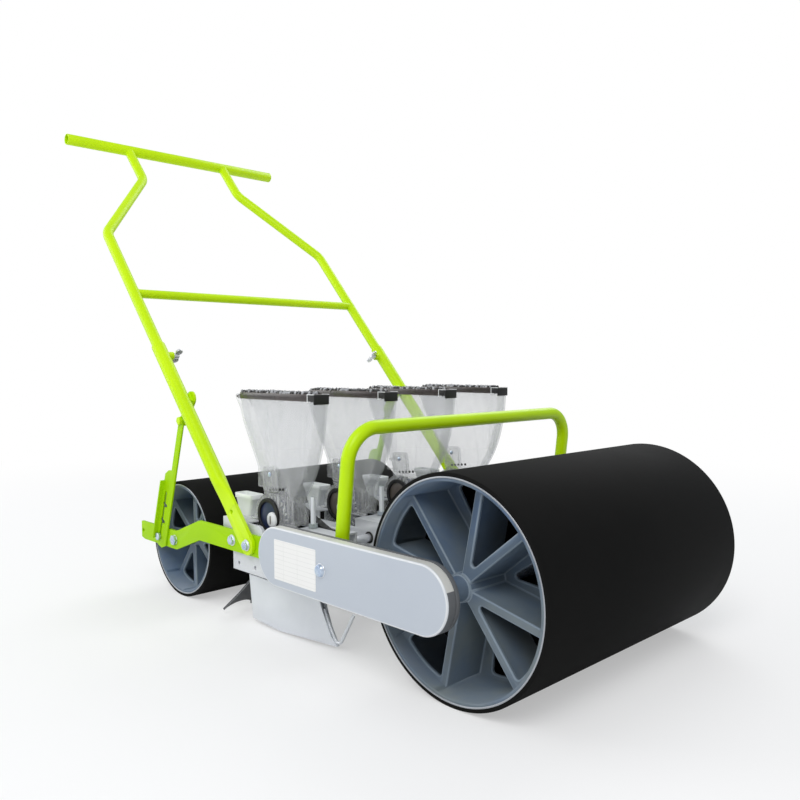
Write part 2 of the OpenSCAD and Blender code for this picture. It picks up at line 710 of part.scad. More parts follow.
// Wing screw that clamps the upper tube in its sleeve, on the inner side of the leg
module wing_bolt() on_leg() translate([wing_s, -y_tube, 0]) rotate([-90, 0, 0]) {
    translate([0, 0, tube_r + face_gap]) cylinder(r = 3, h = 20);
    translate([0, 0, sleeve_r + 8]) cylinder(r = 5, h = 9);
    for (s = [-1, 1]) translate([0, s * 10, sleeve_r + 15]) rotate([0, 90, 0])
        cylinder(r = 6, h = 3, center = true);
}
module wing_bolt_near() color(steel) place() wing_bolt();
module wing_bolt_far() color(steel) place() far() wing_bolt();

// Seed units

// Sheet base folded down at both sides, which sits on the cross tubes
module unit_base(i) color(silver) place() translate([0, unit_y(i), 0]) difference() {
    half = base_w / 2;
    slab(-half, half) union() {
        translate([base_x0, cross_top + 12]) square([base_x1 - base_x0, base_top - cross_top - 12]);
        translate([plate_x0, cross_top]) square([base_x1 - plate_x0, 13]);
    }
    slab(-half + base_t, half - base_t) translate([base_x0 - 1, cross_top - 1])
        square([base_x1 - base_x0 + 2, base_top - base_t - cross_top + 1]);
    pin(shaft_x, shaft_z, shaft_r + 3, -half - 1, half + 1);
    translate([wheel_x - 46, -hopper_w / 2 - 0.5, base_top - 10]) cube([112, hopper_w + 1, 20]);
    translate([wheel_x - cover_big - 1, cover_y0 - face_gap, base_top - 10])
        cube([cover_big + wheel_back + cover_small + 2, cover_t + 2 * face_gap, 20]);
    translate([wheel_x - knob_r - 2, -knob_y - 1.5, base_top - 10]) cube([2 * knob_r + 4, knob_y, 20]);
    translate([wheel_x - axle_r - 1, 0, base_top - 10]) cube([2 * axle_r + 2, cover_y0, 20]);
    translate([rod_x, rod_y, base_top - 10]) cylinder(r = rod_r + run_fit, h = 20);
}
module unit_base_1() unit_base(0);
module unit_base_2() unit_base(1);
module unit_base_3() unit_base(2);
module unit_base_4() unit_base(3);

// Chamber round the seed wheel, its neck and its drop tube, from -half to half
module housing_body(inset, half) {
    top = neck_z + (inset > 0 ? 1 : 0);
    drop = inset > 0 ? -1 : 0;
    pin(wheel_x, wheel_z, chamber_r + clear_wall - inset, -half, half);
    slab(-half, half) polygon([
        [neck_x0 + inset, top], [neck_x0 + neck_len - inset, top],
        [neck_x0 + neck_len + 2 - inset, wheel_z + inset], [wheel_x, wheel_z + inset]
    ]);
    slab(-half, half) translate([wheel_x - drop_half + inset, drop_z + drop])
        square([2 * drop_half - 2 * inset, wheel_z - drop_z]);
}

module seed_housing(i) color(clear) place() translate([0, unit_y(i), 0]) {
    half = hopper_w / 2;
    difference() {
        union() {
            housing_body(0, half);
            for (x = [neck_x0 + neck_len - 30:10:neck_x0 + neck_len])
                slab(-half - 1.2, half + 1.2) translate([x - 1, wheel_z + 3]) square([2, 32]);
        }
        housing_body(clear_wall, half - clear_wall);
        pin(wheel_x, wheel_z, axle_r + run_fit, -half - 1, half + 1);
    }
    for (x = [base_x0 + 48, wheel_x + 44], s = [-1, 1])
        slab(s * (half + 1) - 1.6, s * (half + 1) + 1.6) translate([x, base_top]) square([24, 3]);
}
module seed_housing_1() seed_housing(0);
module seed_housing_2() seed_housing(1);
module seed_housing_3() seed_housing(2);
module seed_housing_4() seed_housing(3);

// Side outline of a hopper: two smooth curves from the lid down to the neck
function hopper_rear(inset) = bezier([
    [hopper_x0 + inset, hopper_z1 + inset], [hopper_x0 + 8 + inset, hopper_z1 - 48],
    [neck_x0 - 14 + inset, neck_z + 54], [neck_x0 + inset, neck_z - inset]
], 12);
function hopper_front(inset) = bezier([
    [neck_x0 + neck_len - inset, neck_z - inset], [neck_x0 + neck_len + 34 - inset, neck_z + 38],
    [hopper_x1 - 4 - inset, neck_z + 84], [hopper_x1 - inset, hopper_z1 + inset]
], 12);

module hopper(i) color(clear) place() translate([0, unit_y(i), 0]) difference() {
    half = hopper_w / 2;
    union() {
        slab(-half, half) polygon(concat(hopper_rear(0), hopper_front(0)));
        for (s = [-1, 1]) link([hinge_x, hinge_z], [hopper_x0 + 5, hopper_z1 - 8], 4, 5,
            s * (half - 1.5) - 1.5, s * (half - 1.5) + 1.5);
        slab(-half, half) difference() {
            translate([neck_x0 - 15, neck_z + 8]) square([24, 30]);
            translate([neck_x0 - 9, neck_z + 26]) circle(2.5);
        }
    }
    slab(-half + clear_wall, half - clear_wall)
        polygon(concat(hopper_rear(clear_wall), hopper_front(clear_wall)));
    pin(hinge_x, hinge_z, hinge_pin_r + run_fit, -half - 1, half + 1);
    slab(-half + 3, half - 3) translate([hinge_x - 5, hopper_z1 - 1]) square([14, 12]);
}
module hopper_1() hopper(0);
module hopper_2() hopper(1);
module hopper_3() hopper(2);
module hopper_4() hopper(3);

// Lid: a shallow cap with a hinge barrel at its rear end
module lid(i) color(smoke) place() translate([0, unit_y(i), 0]) {
    half = hopper_w / 2 + 1;
    z0 = hopper_z1 + face_gap;
    inner = hopper_w / 2 - 3 - face_gap;
    x0 = hopper_x0 + 5;
    x1 = hopper_x1 - latch_len - face_gap;
    rim = 4;
    difference() {
        slab(-half, half) translate([x0, z0]) square([x1 - x0, lid_h]);
        slab(-half + 3, half - 3) translate([x0 + rim, z0 - 1]) square([x1 - x0 - 2 * rim, lid_h - 2]);
    }
    pin(hinge_x, hinge_z, hinge_pin_r, -hopper_w / 2, hopper_w / 2);
    pin(hinge_x, hinge_z, 3.5, -inner, inner);
    slab(-inner, inner) translate([hinge_x, z0 + 2]) square([hopper_x0 + 6 - hinge_x, 4]);
}
module lid_1() lid(0);
module lid_2() lid(1);
module lid_3() lid(2);
module lid_4() lid(3);

module lid_latches() color(black) place() for (i = [0:units - 1]) translate([0, unit_y(i), 0]) {
    half = hopper_w / 2 + 1;
    slab(-half, half) translate([hopper_x1 - latch_len, hopper_z1]) square([latch_len, lid_h]);
    slab(-half, half) translate([hopper_x1, hopper_z1 - 4]) square([2, lid_h + 4]);
}

// Seed wheel with cells round its rim, its axle and the knob that holds it
module seed_wheel(i) color(dark_blue) place() translate([0, unit_y(i), 0]) {
    half = hopper_w / 2;
    slab(-wheel_t / 2 - 2, wheel_t / 2 - 2) translate([wheel_x, wheel_z]) difference() {
        circle(wheel_r);
        for (k = [0:cells - 1]) rotate(k * 360 / cells) translate([wheel_r, 0]) circle(cell_r);
        for (k = [0:5]) rotate(k * 60) translate([wheel_r * 0.6, 0]) circle(wheel_r / 6);
    }
    pin(wheel_x, wheel_z, 10, -half + clear_wall + face_gap, half - clear_wall - face_gap);
    pin(wheel_x, wheel_z, axle_r, -knob_y, cover_y0 + 8);
    difference() {
        pin(wheel_x, wheel_z, knob_r, -knob_y + 1, -half - face_gap);
        for (k = [0:5]) pin(wheel_x + grip_r * cos(60 * k), wheel_z + grip_r * sin(60 * k),
            4, -knob_y, -half - 4);
    }
}
module seed_wheel_1() seed_wheel(0);
module seed_wheel_2() seed_wheel(1);
module seed_wheel_3() seed_wheel(2);
module seed_wheel_4() seed_wheel(3);

// Closed covers over the drive from the cross shaft to each seed wheel
module drive_covers() color(black) place() for (i = [0:units - 1]) translate([0, unit_y(i), 0])
    difference() {
        union() link([wheel_x, wheel_z], [shaft_x, shaft_z], cover_big, cover_small,
            cover_y0, cover_y0 + cover_t);
        pin(wheel_x, wheel_z, axle_r + run_fit, cover_y0 - 1, cover_y0 + 9);
        pin(shaft_x, shaft_z, shaft_r + run_fit, cover_y0 - 1, cover_y0 + cover_t + 1);
    }

// White emptying chute behind each seed wheel
module seed_chutes() color(white) place() for (i = [0:units - 1]) translate([0, unit_y(i), 0])
    difference() {
        slab(-10, 10) polygon([
            [base_x0 + 6, base_top], [base_x0 + 34, base_top], [base_x0 + 46, base_top + 28],
            [base_x0 + 46, base_top + 34], [base_x0 - 4, base_top + 34], [base_x0 - 4, base_top + 28]
        ]);
        slab(-8, 8) polygon([
            [base_x0 + 9, base_top + 3], [base_x0 + 31, base_top + 3], [base_x0 + 44, base_top + 35],
            [base_x0 - 2, base_top + 35]
        ]);
    }

// Opener: a hollow shoe drawn in to an edge at its front, its stem, the wire bow and the depth rod
shoe_rear = tube_x0 + 10;
shoe_side = 70;
shoe_front = shaft_x + 46;
shoe_top = cross_top - cross_h - 13;
shoe_low = 3;
module shoe_plan(inset) {
    half = opener_w / 2 - inset;
    tip = max(2.5 - inset, 0.3);
    rear = shoe_rear - (inset > 0 ? 1 : 0);
    front = shoe_front - 2 * inset;
    polygon([
        [rear, -half], [shoe_rear + shoe_side, -half], [front, -tip],
        [front, tip], [shoe_rear + shoe_side, half], [rear, half]
    ]);
}
module opener(i) color(silver) place() translate([0, unit_y(i), 0]) {
    stem_x = rod_x - 32;
    difference() {
        slab(-opener_w / 2, opener_w / 2) polygon([
            [shoe_rear - 9, shoe_top], [shoe_rear, shoe_low + 4], [shoe_rear + shoe_side, shoe_low],
            [shoe_front, shoe_low + 4], [shoe_front - 12, shoe_low + 16], [shoe_front - 30, shoe_low + 52],
            [shoe_front - 38, shoe_top], [shoe_rear + 40, shoe_top]
        ]);
        difference() {
            translate([shoe_rear - 20, -opener_w, -1]) cube([shoe_front, 2 * opener_w, shoe_top + 2]);
            translate([0, 0, -2]) linear_extrude(shoe_top + 4) union() {
                shoe_plan(0);
                translate([shoe_rear - 12, -opener_w / 2]) square([13, opener_w]);
            }
        }
        translate([0, 0, -2]) linear_extrude(shoe_top - opener_t + 2) union() {
            shoe_plan(opener_t);
            translate([shoe_rear - 13, -opener_w / 2 + opener_t]) square([14, opener_w - 2 * opener_t]);
        }
        translate([wheel_x - 16, -opener_w / 2 + opener_t, shoe_top - 10])
            cube([32, opener_w - 2 * opener_t, 20]);
    }
    translate([stem_x, -3, shoe_top - 0.5]) cube([28, 6, base_top - base_t - 12 - shoe_top]);
    translate([rod_x, rod_y, shoe_top - 0.5]) cylinder(r = rod_r, h = base_top + 46 - shoe_top);
    translate([stem_x, -3, shoe_top - opener_t]) cube([32 + rod_r, rod_y + rod_r + 3, 6]);
    bent_bar([
        [shoe_front - 31, 0, shoe_low + 50], [shoe_front + 1, 0, shoe_low + wire_r],
        [shoe_front + 34, 0, shoe_low + 56]
    ], 8, wire_r);
}
module opener_1() opener(0);
module opener_2() opener(1);
module opener_3() opener(2);
module opener_4() opener(3);

// Fishtail blades that close the furrow, each on a strip below the rear cross tube
module coverers() color([0.3, 0.31, 0.33]) place() for (i = [0:units - 1]) translate([0, unit_y(i), 0]) {
    knee_z = 60;
    strip_t = 3;
    difference() {
        translate([tube_x0 - strip_t, 0, knee_z]) rotate([0, 136, 0]) linear_extrude(3, center = true)
            difference() {
                polygon([
                    [-4, -13], [-4, 13], [30, 17], [74, 27], [78, 24], [78, -24], [74, -27], [30, -17]
                ]);
                translate([82, 0]) circle(26);
            }
        translate([0, -50, -20]) cube([300, 100, 22]);
    }
    translate([tube_x0 - strip_t, -10, knee_z - 4]) cube([strip_t, 20, cross_top + 2 - knee_z]);
}

side_plate_near();
side_plate_far();
cross_tubes();
front_arm_near();
front_arm_far();
chain_case_back();
chain_case_cover();
chain();
arm_near();
arm_far();
front_loop();
rear_axle();
frame_bolts();
bushes();
unit_base_1();
unit_base_2();
unit_base_3();
unit_base_4();
seed_housing_1();
seed_housing_2();
seed_housing_3();
seed_housing_4();
hopper_1();
hopper_2();
hopper_3();
hopper_4();
drive_covers();
seed_chutes();
lid_latches();
coverers();
lid_1();
lid_2();
lid_3();
lid_4();
seed_wheel_1();
seed_wheel_2();
seed_wheel_3();
seed_wheel_4();
opener_1();
opener_2();
opener_3();
opener_4();
drive_shaft();
front_sleeve();
front_shell();
front_end_near();
front_end_far();
front_axle();
rear_sleeve();
rear_shell();
rear_end_near();
rear_end_far();
leg_near();
leg_far();
handle_upper();
strut_near();
strut_far();
wing_bolt_near();
wing_bolt_far();
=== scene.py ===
"""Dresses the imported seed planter: shaped pieces, finishes, studio and camera."""

import json
import logging
import math
import random
from dataclasses import dataclass, field
from enum import Enum
from typing import Callable, Sequence

import bmesh
import bpy
from mathutils import Matrix, Vector

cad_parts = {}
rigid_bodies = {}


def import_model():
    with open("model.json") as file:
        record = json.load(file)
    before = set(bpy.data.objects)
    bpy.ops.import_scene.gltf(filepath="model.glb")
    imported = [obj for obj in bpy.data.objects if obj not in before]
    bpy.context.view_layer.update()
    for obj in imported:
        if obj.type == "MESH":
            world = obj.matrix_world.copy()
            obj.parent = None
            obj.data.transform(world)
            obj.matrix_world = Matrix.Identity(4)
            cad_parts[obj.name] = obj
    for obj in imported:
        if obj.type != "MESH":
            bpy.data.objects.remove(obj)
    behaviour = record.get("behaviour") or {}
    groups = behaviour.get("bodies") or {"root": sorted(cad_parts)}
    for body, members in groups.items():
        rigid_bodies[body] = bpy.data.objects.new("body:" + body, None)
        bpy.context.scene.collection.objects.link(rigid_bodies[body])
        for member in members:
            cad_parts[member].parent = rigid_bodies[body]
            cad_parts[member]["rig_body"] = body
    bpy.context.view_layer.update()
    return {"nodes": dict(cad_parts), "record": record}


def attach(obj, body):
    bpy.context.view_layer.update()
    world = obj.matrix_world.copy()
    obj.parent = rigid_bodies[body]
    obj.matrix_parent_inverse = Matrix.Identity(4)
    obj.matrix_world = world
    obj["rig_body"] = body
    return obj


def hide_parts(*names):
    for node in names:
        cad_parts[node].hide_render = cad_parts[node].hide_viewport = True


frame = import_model()
LOG = logging.getLogger("planter")
SLOTS = {entry["node"]: entry["material_slot"] for entry in frame["record"]["subparts"]}

Colour = tuple[float, float, float]
Flat = Sequence[float]
Feed = dict[int | str, object]

MM = 0.001
MERGE = 1e-7
MIDDLE = Vector((177.4532, -7.76, 0.0))
UNIT_Y = (-202.5, -67.5, 67.5, 202.5)
SIDES = (("near", -1), ("far", 1))
PICTURE_PX = 800.0
SENSOR_MM = 36.0


def at(x: float, y: float, z: float) -> Vector:
    """Turns a place in the machine's millimetres into the row frame's metres.

    Args:
        x: Distance forward of the rear axle.
        y: Distance from the middle plane, positive away from the chain case.
        z: Height above the ground.

    Returns:
        The same place in metres in the row frame.
    """
    return (Vector((x, y, z)) - MIDDLE) * MM


def circle(count: int, start: float = 0.0) -> list[tuple[float, float]]:
    """Spaces points evenly round a circle of radius 1.

    Args:
        count: Number of points.
        start: Angle of the first point in degrees.

    Returns:
        The cosine and the sine of each point's angle.
    """
    angles = [2 * math.pi * k / count + math.radians(start) for k in range(count)]
    return [(math.cos(a), math.sin(a)) for a in angles]


# Finishes


class Grain(Enum):
    """How the fine relief of a surface looks."""

    PEEL = "peel"
    CAST = "cast"
    BRUSHED = "brushed"
    PEBBLE = "pebble"


class NodeKit:
    """Adds nodes to a tree and joins their sockets."""

    def __init__(self, tree: bpy.types.NodeTree) -> None:
        """Keeps the tree to work on."""
        self.tree = tree

    def fill(self, node: bpy.types.Node, feed: Feed) -> None:
        """Joins sockets to a node's inputs, or sets the inputs' values.

        Args:
            node: The node to fill.
            feed: A socket or a value for each input, by its name or number.
        """
        for key, given in feed.items():
            if isinstance(given, bpy.types.NodeSocket):
                self.tree.links.new(given, node.inputs[key])
            else:
                node.inputs[key].default_value = given

    def add(self, kind: str, feed: Feed | None = None, **settings: object) -> bpy.types.Node:
        """Adds one node.

        Args:
            kind: Blender's name of the node type.
            feed: A socket or a value for each input, by its name or number.
            settings: Properties of the node.

        Returns:
            The new node.
        """
        node = self.tree.nodes.new(kind)
        for key, value in settings.items():
            setattr(node, key, value)
        self.fill(node, feed or {})
        return node

    def get(self, kind: str, feed: Feed, out: int | str = 0, **settings: object) -> bpy.types.NodeSocket:
        """Adds one node and returns one of its outputs.

        Args:
            kind: Blender's name of the node type.
            feed: A socket or a value for each input, by its name or number.
            out: Name or number of the output.
            settings: Properties of the node.

        Returns:
            The output.
        """
        return self.add(kind, feed, **settings).outputs[out]

    def calc(self, operation: str, *parts: bpy.types.NodeSocket | float) -> bpy.types.NodeSocket:
        """Adds a sum on sockets or numbers and returns its result."""
        return self.get("ShaderNodeMath", dict(enumerate(parts)), operation=operation)

    def ramp(self, value: bpy.types.NodeSocket, *stops: tuple[float, Colour]) -> bpy.types.NodeSocket:
        """Turns a value into a colour between two stops.

        Args:
            value: The socket with the value.
            stops: Position and colour of both stops.

        Returns:
            The socket with the colour.
        """
        node = self.add("ShaderNodeValToRGB", {"Fac": value})
        for element, (position, colour) in zip(node.color_ramp.elements, stops):
            element.position = position
            element.color = (*colour, 1.0)
        return node.outputs["Color"]

    def seen(self) -> bpy.types.NodeSocket:
        """Returns a socket that is 1 for rays from the camera or through a clear wall."""
        rays = self.add("ShaderNodeLightPath").outputs
        return self.calc("MAXIMUM", rays["Is Camera Ray"], rays["Is Transmission Ray"])


class MaterialKit(NodeKit):
    """The nodes of one new material: Object coordinates, shader and output."""

    def __init__(self, mat: bpy.types.Material) -> None:
        """Finds or adds the nodes that every material has.

        Args:
            mat: The material.
        """
        mat.use_nodes = True
        super().__init__(mat.node_tree)
        self.shader = mat.node_tree.nodes["Principled BSDF"]
        self.out = mat.node_tree.nodes["Material Output"]
        self.place = self.get("ShaderNodeTexCoord", {}, "Object")

    def noise(self, size: float, place: bpy.types.NodeSocket | None = None,
              **more: float) -> bpy.types.NodeSocket:
        """Adds a noise texture.

        Args:
            size: The texture's scale.
            place: Its coordinates, the plain ones where left out.
            more: Values of its other inputs by name.

        Returns:
            The socket with its strength.
        """
        return self.get("ShaderNodeTexNoise", {"Vector": place or self.place, "Scale": size, **more})

    def span(self, value: bpy.types.NodeSocket, low: float, high: float, start: float = 0.0,
             stop: float = 1.0, **settings: str) -> bpy.types.NodeSocket:
        """Stretches a value to new limits.

        Args:
            value: The socket with the value.
            low: The result at start.
            high: The result at stop.
            start: The value that gives low.
            stop: The value that gives high.
            settings: Properties of the node.

        Returns:
            The socket with the result.
        """
        return self.get("ShaderNodeMapRange", {"Value": value, "From Min": start, "From Max": stop,
                                               "To Min": low, "To Max": high}, **settings)

    def blend(self, share: bpy.types.NodeSocket, first: bpy.types.NodeSocket | Colour,
              second: Colour) -> bpy.types.NodeSocket:
        """Mixes two colours.

        Args:
            share: Share of the second colour.
            first: The first colour, or a socket with it.
            second: The second colour.

        Returns:
            The socket with the mixed colour.
        """
        given = first if isinstance(first, bpy.types.NodeSocket) else (*first, 1.0)
        return self.get("ShaderNodeMix", {0: share, 6: given, 7: (*second, 1.0)}, 2, data_type="RGBA")


@dataclass(frozen=True)
class Surface:
    """What all finishes share: a name and a material that is built once."""

    name: str

    def material(self) -> bpy.types.Material:
        """Builds the finish's material once and finds it after that.

        Returns:
            The material.
        """
        known = bpy.data.materials.get(self.name)
        if known:
            return known
        mat = bpy.data.materials.new(self.name)
        self._fill(MaterialKit(mat))
        return mat

    def _fill(self, kit: MaterialKit) -> None:
        """Builds the finish's own nodes.

        Args:
            kit: The material's nodes.
        """
        raise NotImplementedError(self.name)


@dataclass(frozen=True)
class Finish(Surface):
    """An opaque surface with mottled colour, uneven gloss and fine relief, and, where an edge colour is
    given, a lighter painted highlight on its bevelled edges.
    """

    colour: Colour
    roughness: float
    metallic: float = 0.0
    coat: float = 0.0
    shade: Colour | None = None
    shade_share: float = 0.86
    mottle_size: float = 9.0
    mottle_span: tuple[float, float] = (0.3, 0.62)
    rough_spread: float = 0.06
    grain: Grain = Grain.PEEL
    relief: float = 0.05
    relief_size: float = 600.0
    relief_depth: float = 0.0004
    # A lighter colour laid on bevelled edges: painted highlight.
    edge: Colour | None = None
    specular: float = 0.5

    def _fill(self, kit: MaterialKit) -> None:
        """Builds the finish's own nodes.

        Args:
            kit: The material's nodes.
        """
        spots = kit.noise(self.mottle_size, Detail=5.0, Roughness=0.6)
        dark = self.shade or tuple(c * self.shade_share for c in self.colour)
        colour = kit.ramp(spots, *zip(self.mottle_span, (dark, self.colour)))
        # Blends the lighter edge colour onto the bevel faces: painted highlight.
        if self.edge:
            edge_highlight = kit.get("ShaderNodeAttribute", {}, "Fac", attribute_name="edge")
            colour = kit.blend(edge_highlight, colour, self.edge)
        gloss = kit.span(spots, self.roughness - self.rough_spread, self.roughness + self.rough_spread)
        bump = kit.get("ShaderNodeBump", {"Height": self._height(kit), "Strength": self.relief,
                                          "Distance": self.relief_depth})
        kit.fill(kit.shader, {"Base Color": colour, "Roughness": gloss, "Normal": bump,
                              "Metallic": self.metallic, "Coat Weight": self.coat,
                              "Coat Roughness": 0.15, "Specular IOR Level": self.specular})

    def _height(self, kit: MaterialKit) -> bpy.types.NodeSocket:
        """Adds the nodes of the fine relief.

        Args:
            kit: The material's nodes.

        Returns:
            The socket with the height.
        """
        place = kit.place
        if self.grain is Grain.BRUSHED:
            place = kit.get("ShaderNodeMapping", {"Vector": place, "Scale": (0.06, 1.0, 1.0)})
        if self.grain is Grain.PEBBLE:
            return kit.get("ShaderNodeTexVoronoi", {"Vector": place, "Scale": self.relief_size})
        return kit.noise(self.relief_size, place, Detail=6.0 if self.grain is Grain.CAST else 2.0)


@dataclass(frozen=True)
class ClearFinish(Surface):
    """A thin clear wall: mostly see-through, with gloss that grows towards the edges."""

    tint: Colour
    edge_tint: Colour
    density: float = 0.05
    edge_density: float = 0.55
    wave: float = 0.25
    wave_size: float = 26.0
    streak: float = 0.1
    streak_size: float = 14.0
    streak_span: tuple[float, float] = (0.56, 0.74)
    stretch: float = 0.22
    gloss: Colour = (0.92, 0.93, 0.94)

    def _fill(self, kit: MaterialKit) -> None:
        """Builds the finish's own nodes.

        Args:
            kit: The material's nodes.
        """
        swell = kit.noise(self.wave_size, Detail=2.0, Distortion=1.2)
        bump = kit.get("ShaderNodeBump", {"Height": swell, "Strength": self.wave, "Distance": 0.004})
        rim = kit.get("ShaderNodeLayerWeight", {"Normal": bump, "Blend": 0.35}, "Facing")
        tint = kit.ramp(rim, (0.0, self.tint), (1.0, self.edge_tint))
        through = kit.get("ShaderNodeBsdfTransparent", {"Color": tint})
        kit.fill(kit.shader, {"Normal": bump, "Roughness": 0.07, "Base Color": (*self.gloss, 1.0)})
        wall = kit.span(rim, self.density, self.edge_density)
        drawn = kit.get("ShaderNodeMapping", {"Vector": kit.place, "Scale": (1.0, 1.0, self.stretch)})
        lines = kit.noise(self.streak_size, drawn, Detail=3.0, Distortion=2.2)
        veil = kit.span(lines, 0.0, self.streak, *self.streak_span)
        mix = kit.get("ShaderNodeMixShader", {0: kit.calc("ADD", wall, veil), 1: through,
                                              2: kit.shader.outputs["BSDF"]})
        kit.fill(kit.out, {"Surface": mix})


@dataclass(frozen=True)
class RuledFinish(Surface):
    """A bare paper panel with faint ruled lines, in metres."""

    name: str = "bare_panel"
    paper: Colour = (0.80, 0.795, 0.775)
    ink: Colour = (0.60, 0.60, 0.58)
    row: float = 0.0062
    row_half: float = 0.00028
    columns: tuple[float, ...] = (0.197, 0.228)
    column_half: float = 0.0003

    def _fill(self, kit: MaterialKit) -> None:
        """Builds the finish's own nodes.

        Args:
            kit: The material's nodes.
        """
        axes = kit.add("ShaderNodeSeparateXYZ", {0: kit.place}).outputs
        wrap = kit.calc("PINGPONG", axes["Z"], self.row / 2)
        total = kit.calc("COMPARE", wrap, 0.0, self.row_half)
        for x in self.columns:
            total = kit.calc("MAXIMUM", total, kit.calc("COMPARE", axes["X"], x, self.column_half))
        faint = kit.calc("MULTIPLY", total, kit.noise(60.0, Detail=3.0))
        kit.fill(kit.shader, {"Base Color": kit.blend(faint, self.paper, self.ink), "Roughness": 0.55})


@dataclass(frozen=True)
class FloorFinish(Surface):
    """A pale matt floor that the camera sees fade to white away from the middle."""

    name: str = "pale_floor"
    grey: float = 0.86
    fade_from: float = 0.75
    fade_to: float = 2.4
    near_white: float = 0.42

    def _fill(self, kit: MaterialKit) -> None:
        """Builds the finish's own nodes.

        Args:
            kit: The material's nodes.
        """
        kit.fill(kit.shader, {"Base Color": (self.grey, self.grey, self.grey, 1.0), "Roughness": 0.9,
                              "Specular IOR Level": 0.1})
        glow = kit.get("ShaderNodeEmission", {"Color": (1.0, 1.0, 1.0, 1.0), "Strength": 1.0})
        reach = kit.get("ShaderNodeVectorMath", {0: kit.place}, "Value", operation="LENGTH")
        fade = kit.span(reach, self.near_white, 1.0, self.fade_from, self.fade_to,
                        interpolation_type="SMOOTHSTEP")
        share = kit.calc("MULTIPLY", fade, kit.seen())
        mix = kit.get("ShaderNodeMixShader", {0: share, 1: kit.shader.outputs["BSDF"], 2: glow})
        kit.fill(kit.out, {"Surface": mix})


# Copies of the one green paint: darker on the flat arms and struts as painted shade, lighter on the tubes
# and the loop as painted light.
SHADED_GREEN = Finish("green_paint_shaded_copy", (0.36, 0.64, 0.001), 0.45, shade=(0.32, 0.59, 0.001),
               relief=0.10, relief_size=420.0, specular=0.08)
LIT_GREEN = Finish("green_paint_lit_copy", (0.56, 0.83, 0.0015), 0.36, shade=(0.50, 0.78, 0.001),
              relief=0.02, relief_size=160.0, specular=0.2)
LOOP = Finish("green_paint_loop_copy", (0.50, 0.765, 0.0015), 0.33, shade=(0.45, 0.715, 0.001),
              relief=0.08, relief_size=420.0, specular=0.22)
SILVER = Finish("silver_coat", (0.62, 0.635, 0.66), 0.42, metallic=0.15, shade=(0.55, 0.57, 0.60),
                relief=0.08, edge=(0.76, 0.77, 0.78))
CASE = Finish("case_coat", (0.485, 0.525, 0.58), 0.40, metallic=0.15, shade=(0.465, 0.505, 0.565),
              mottle_size=5.0, relief=0.05, edge=(0.68, 0.70, 0.72), specular=0.35)
# Darker copy of the case paint for the side walls and the back plate, painted shade; lighter copy for
# upward faces, painted light.
CASE_SHADED_SIDE = Finish("case_paint_shaded_side", (0.15, 0.155, 0.162), 0.42, metallic=0.15,
                   shade=(0.122, 0.127, 0.135), mottle_size=12.0, relief=0.05, specular=0.35)
CASE_LIT_TOP = Finish("case_paint_lit_top", (0.66, 0.655, 0.615), 0.42, metallic=0.1,
                  shade=(0.58, 0.575, 0.54), mottle_size=12.0, relief=0.05, specular=0.35)
SHEET = Finish("satin_sheet", (0.775, 0.80, 0.83), 0.36, metallic=0.4, shade=(0.70, 0.725, 0.765),
               grain=Grain.BRUSHED, relief=0.10, relief_size=900.0, edge=(0.87, 0.88, 0.89))
ZINC = Finish("zinc_plate", (0.62, 0.70, 0.80), 0.28, metallic=0.85, shade=(0.34, 0.44, 0.62),
              mottle_size=70.0, relief=0.05)
STUD = Finish("threaded_stud", (0.50, 0.56, 0.62), 0.3, metallic=0.75, shade=(0.36, 0.40, 0.36),
              mottle_size=60.0, relief=0.05)
BRIGHT = Finish("bright_plate", (0.74, 0.75, 0.77), 0.3, metallic=0.6, shade=(0.62, 0.64, 0.68),
                mottle_size=50.0, relief=0.05)
RIM = Finish("shell_steel", (0.42, 0.44, 0.47), 0.4, metallic=0.6)
# Near-black for the shell's inner wall deep inside the drum: painted shade.
INNER_SHADE = Finish("shell_inside_painted_shade", (0.004, 0.004, 0.0042), 0.8, relief=0.1, specular=0.05)
DARK = Finish("dark_coat", (0.060, 0.062, 0.066), 0.5, relief=0.1, edge=(0.30, 0.31, 0.32),
              specular=0.3)
RUBBER = Finish("drum_rubber", (0.0080, 0.0079, 0.0076), 0.72, shade=(0.0062, 0.0062, 0.0060),
                grain=Grain.CAST, relief=0.16, relief_size=380.0, specular=0.05)
BLACK = Finish("black_moulding", (0.012, 0.012, 0.012), 0.45, grain=Grain.CAST, relief=0.1,
               specular=0.35)
SLATE = Finish("slate_moulding", (0.158, 0.190, 0.204), 0.42, shade=(0.064, 0.118, 0.222),
               mottle_size=5.5, grain=Grain.CAST, relief=0.10, relief_size=500.0,
               edge=(0.20, 0.25, 0.30), specular=0.38)
BLUE = Finish("dark_blue_moulding", (0.018, 0.030, 0.085), 0.35, relief=0.05)
BROWN = Finish("brown_moulding", (0.105, 0.085, 0.072), 0.4, shade=(0.07, 0.056, 0.047), relief=0.05)
PALE = Finish("pale_moulding", (0.78, 0.79, 0.79), 0.34, shade=(0.68, 0.69, 0.70), relief=0.05)
WHITE = Finish("white_moulding", (0.80, 0.82, 0.82), 0.36, coat=0.15, shade=(0.72, 0.74, 0.75))
SMOKE = Finish("smoked_moulding", (0.046, 0.036, 0.034), 0.24, coat=0.2, shade=(0.028, 0.022, 0.02),
               mottle_size=30.0, grain=Grain.PEBBLE, relief=0.3, relief_size=260.0,
               edge=(0.15, 0.12, 0.11))
LUMPS = Finish("rough_top_dark", (0.030, 0.028, 0.028), 0.22, shade=(0.012, 0.011, 0.011),
               mottle_size=240.0, relief=0.1)
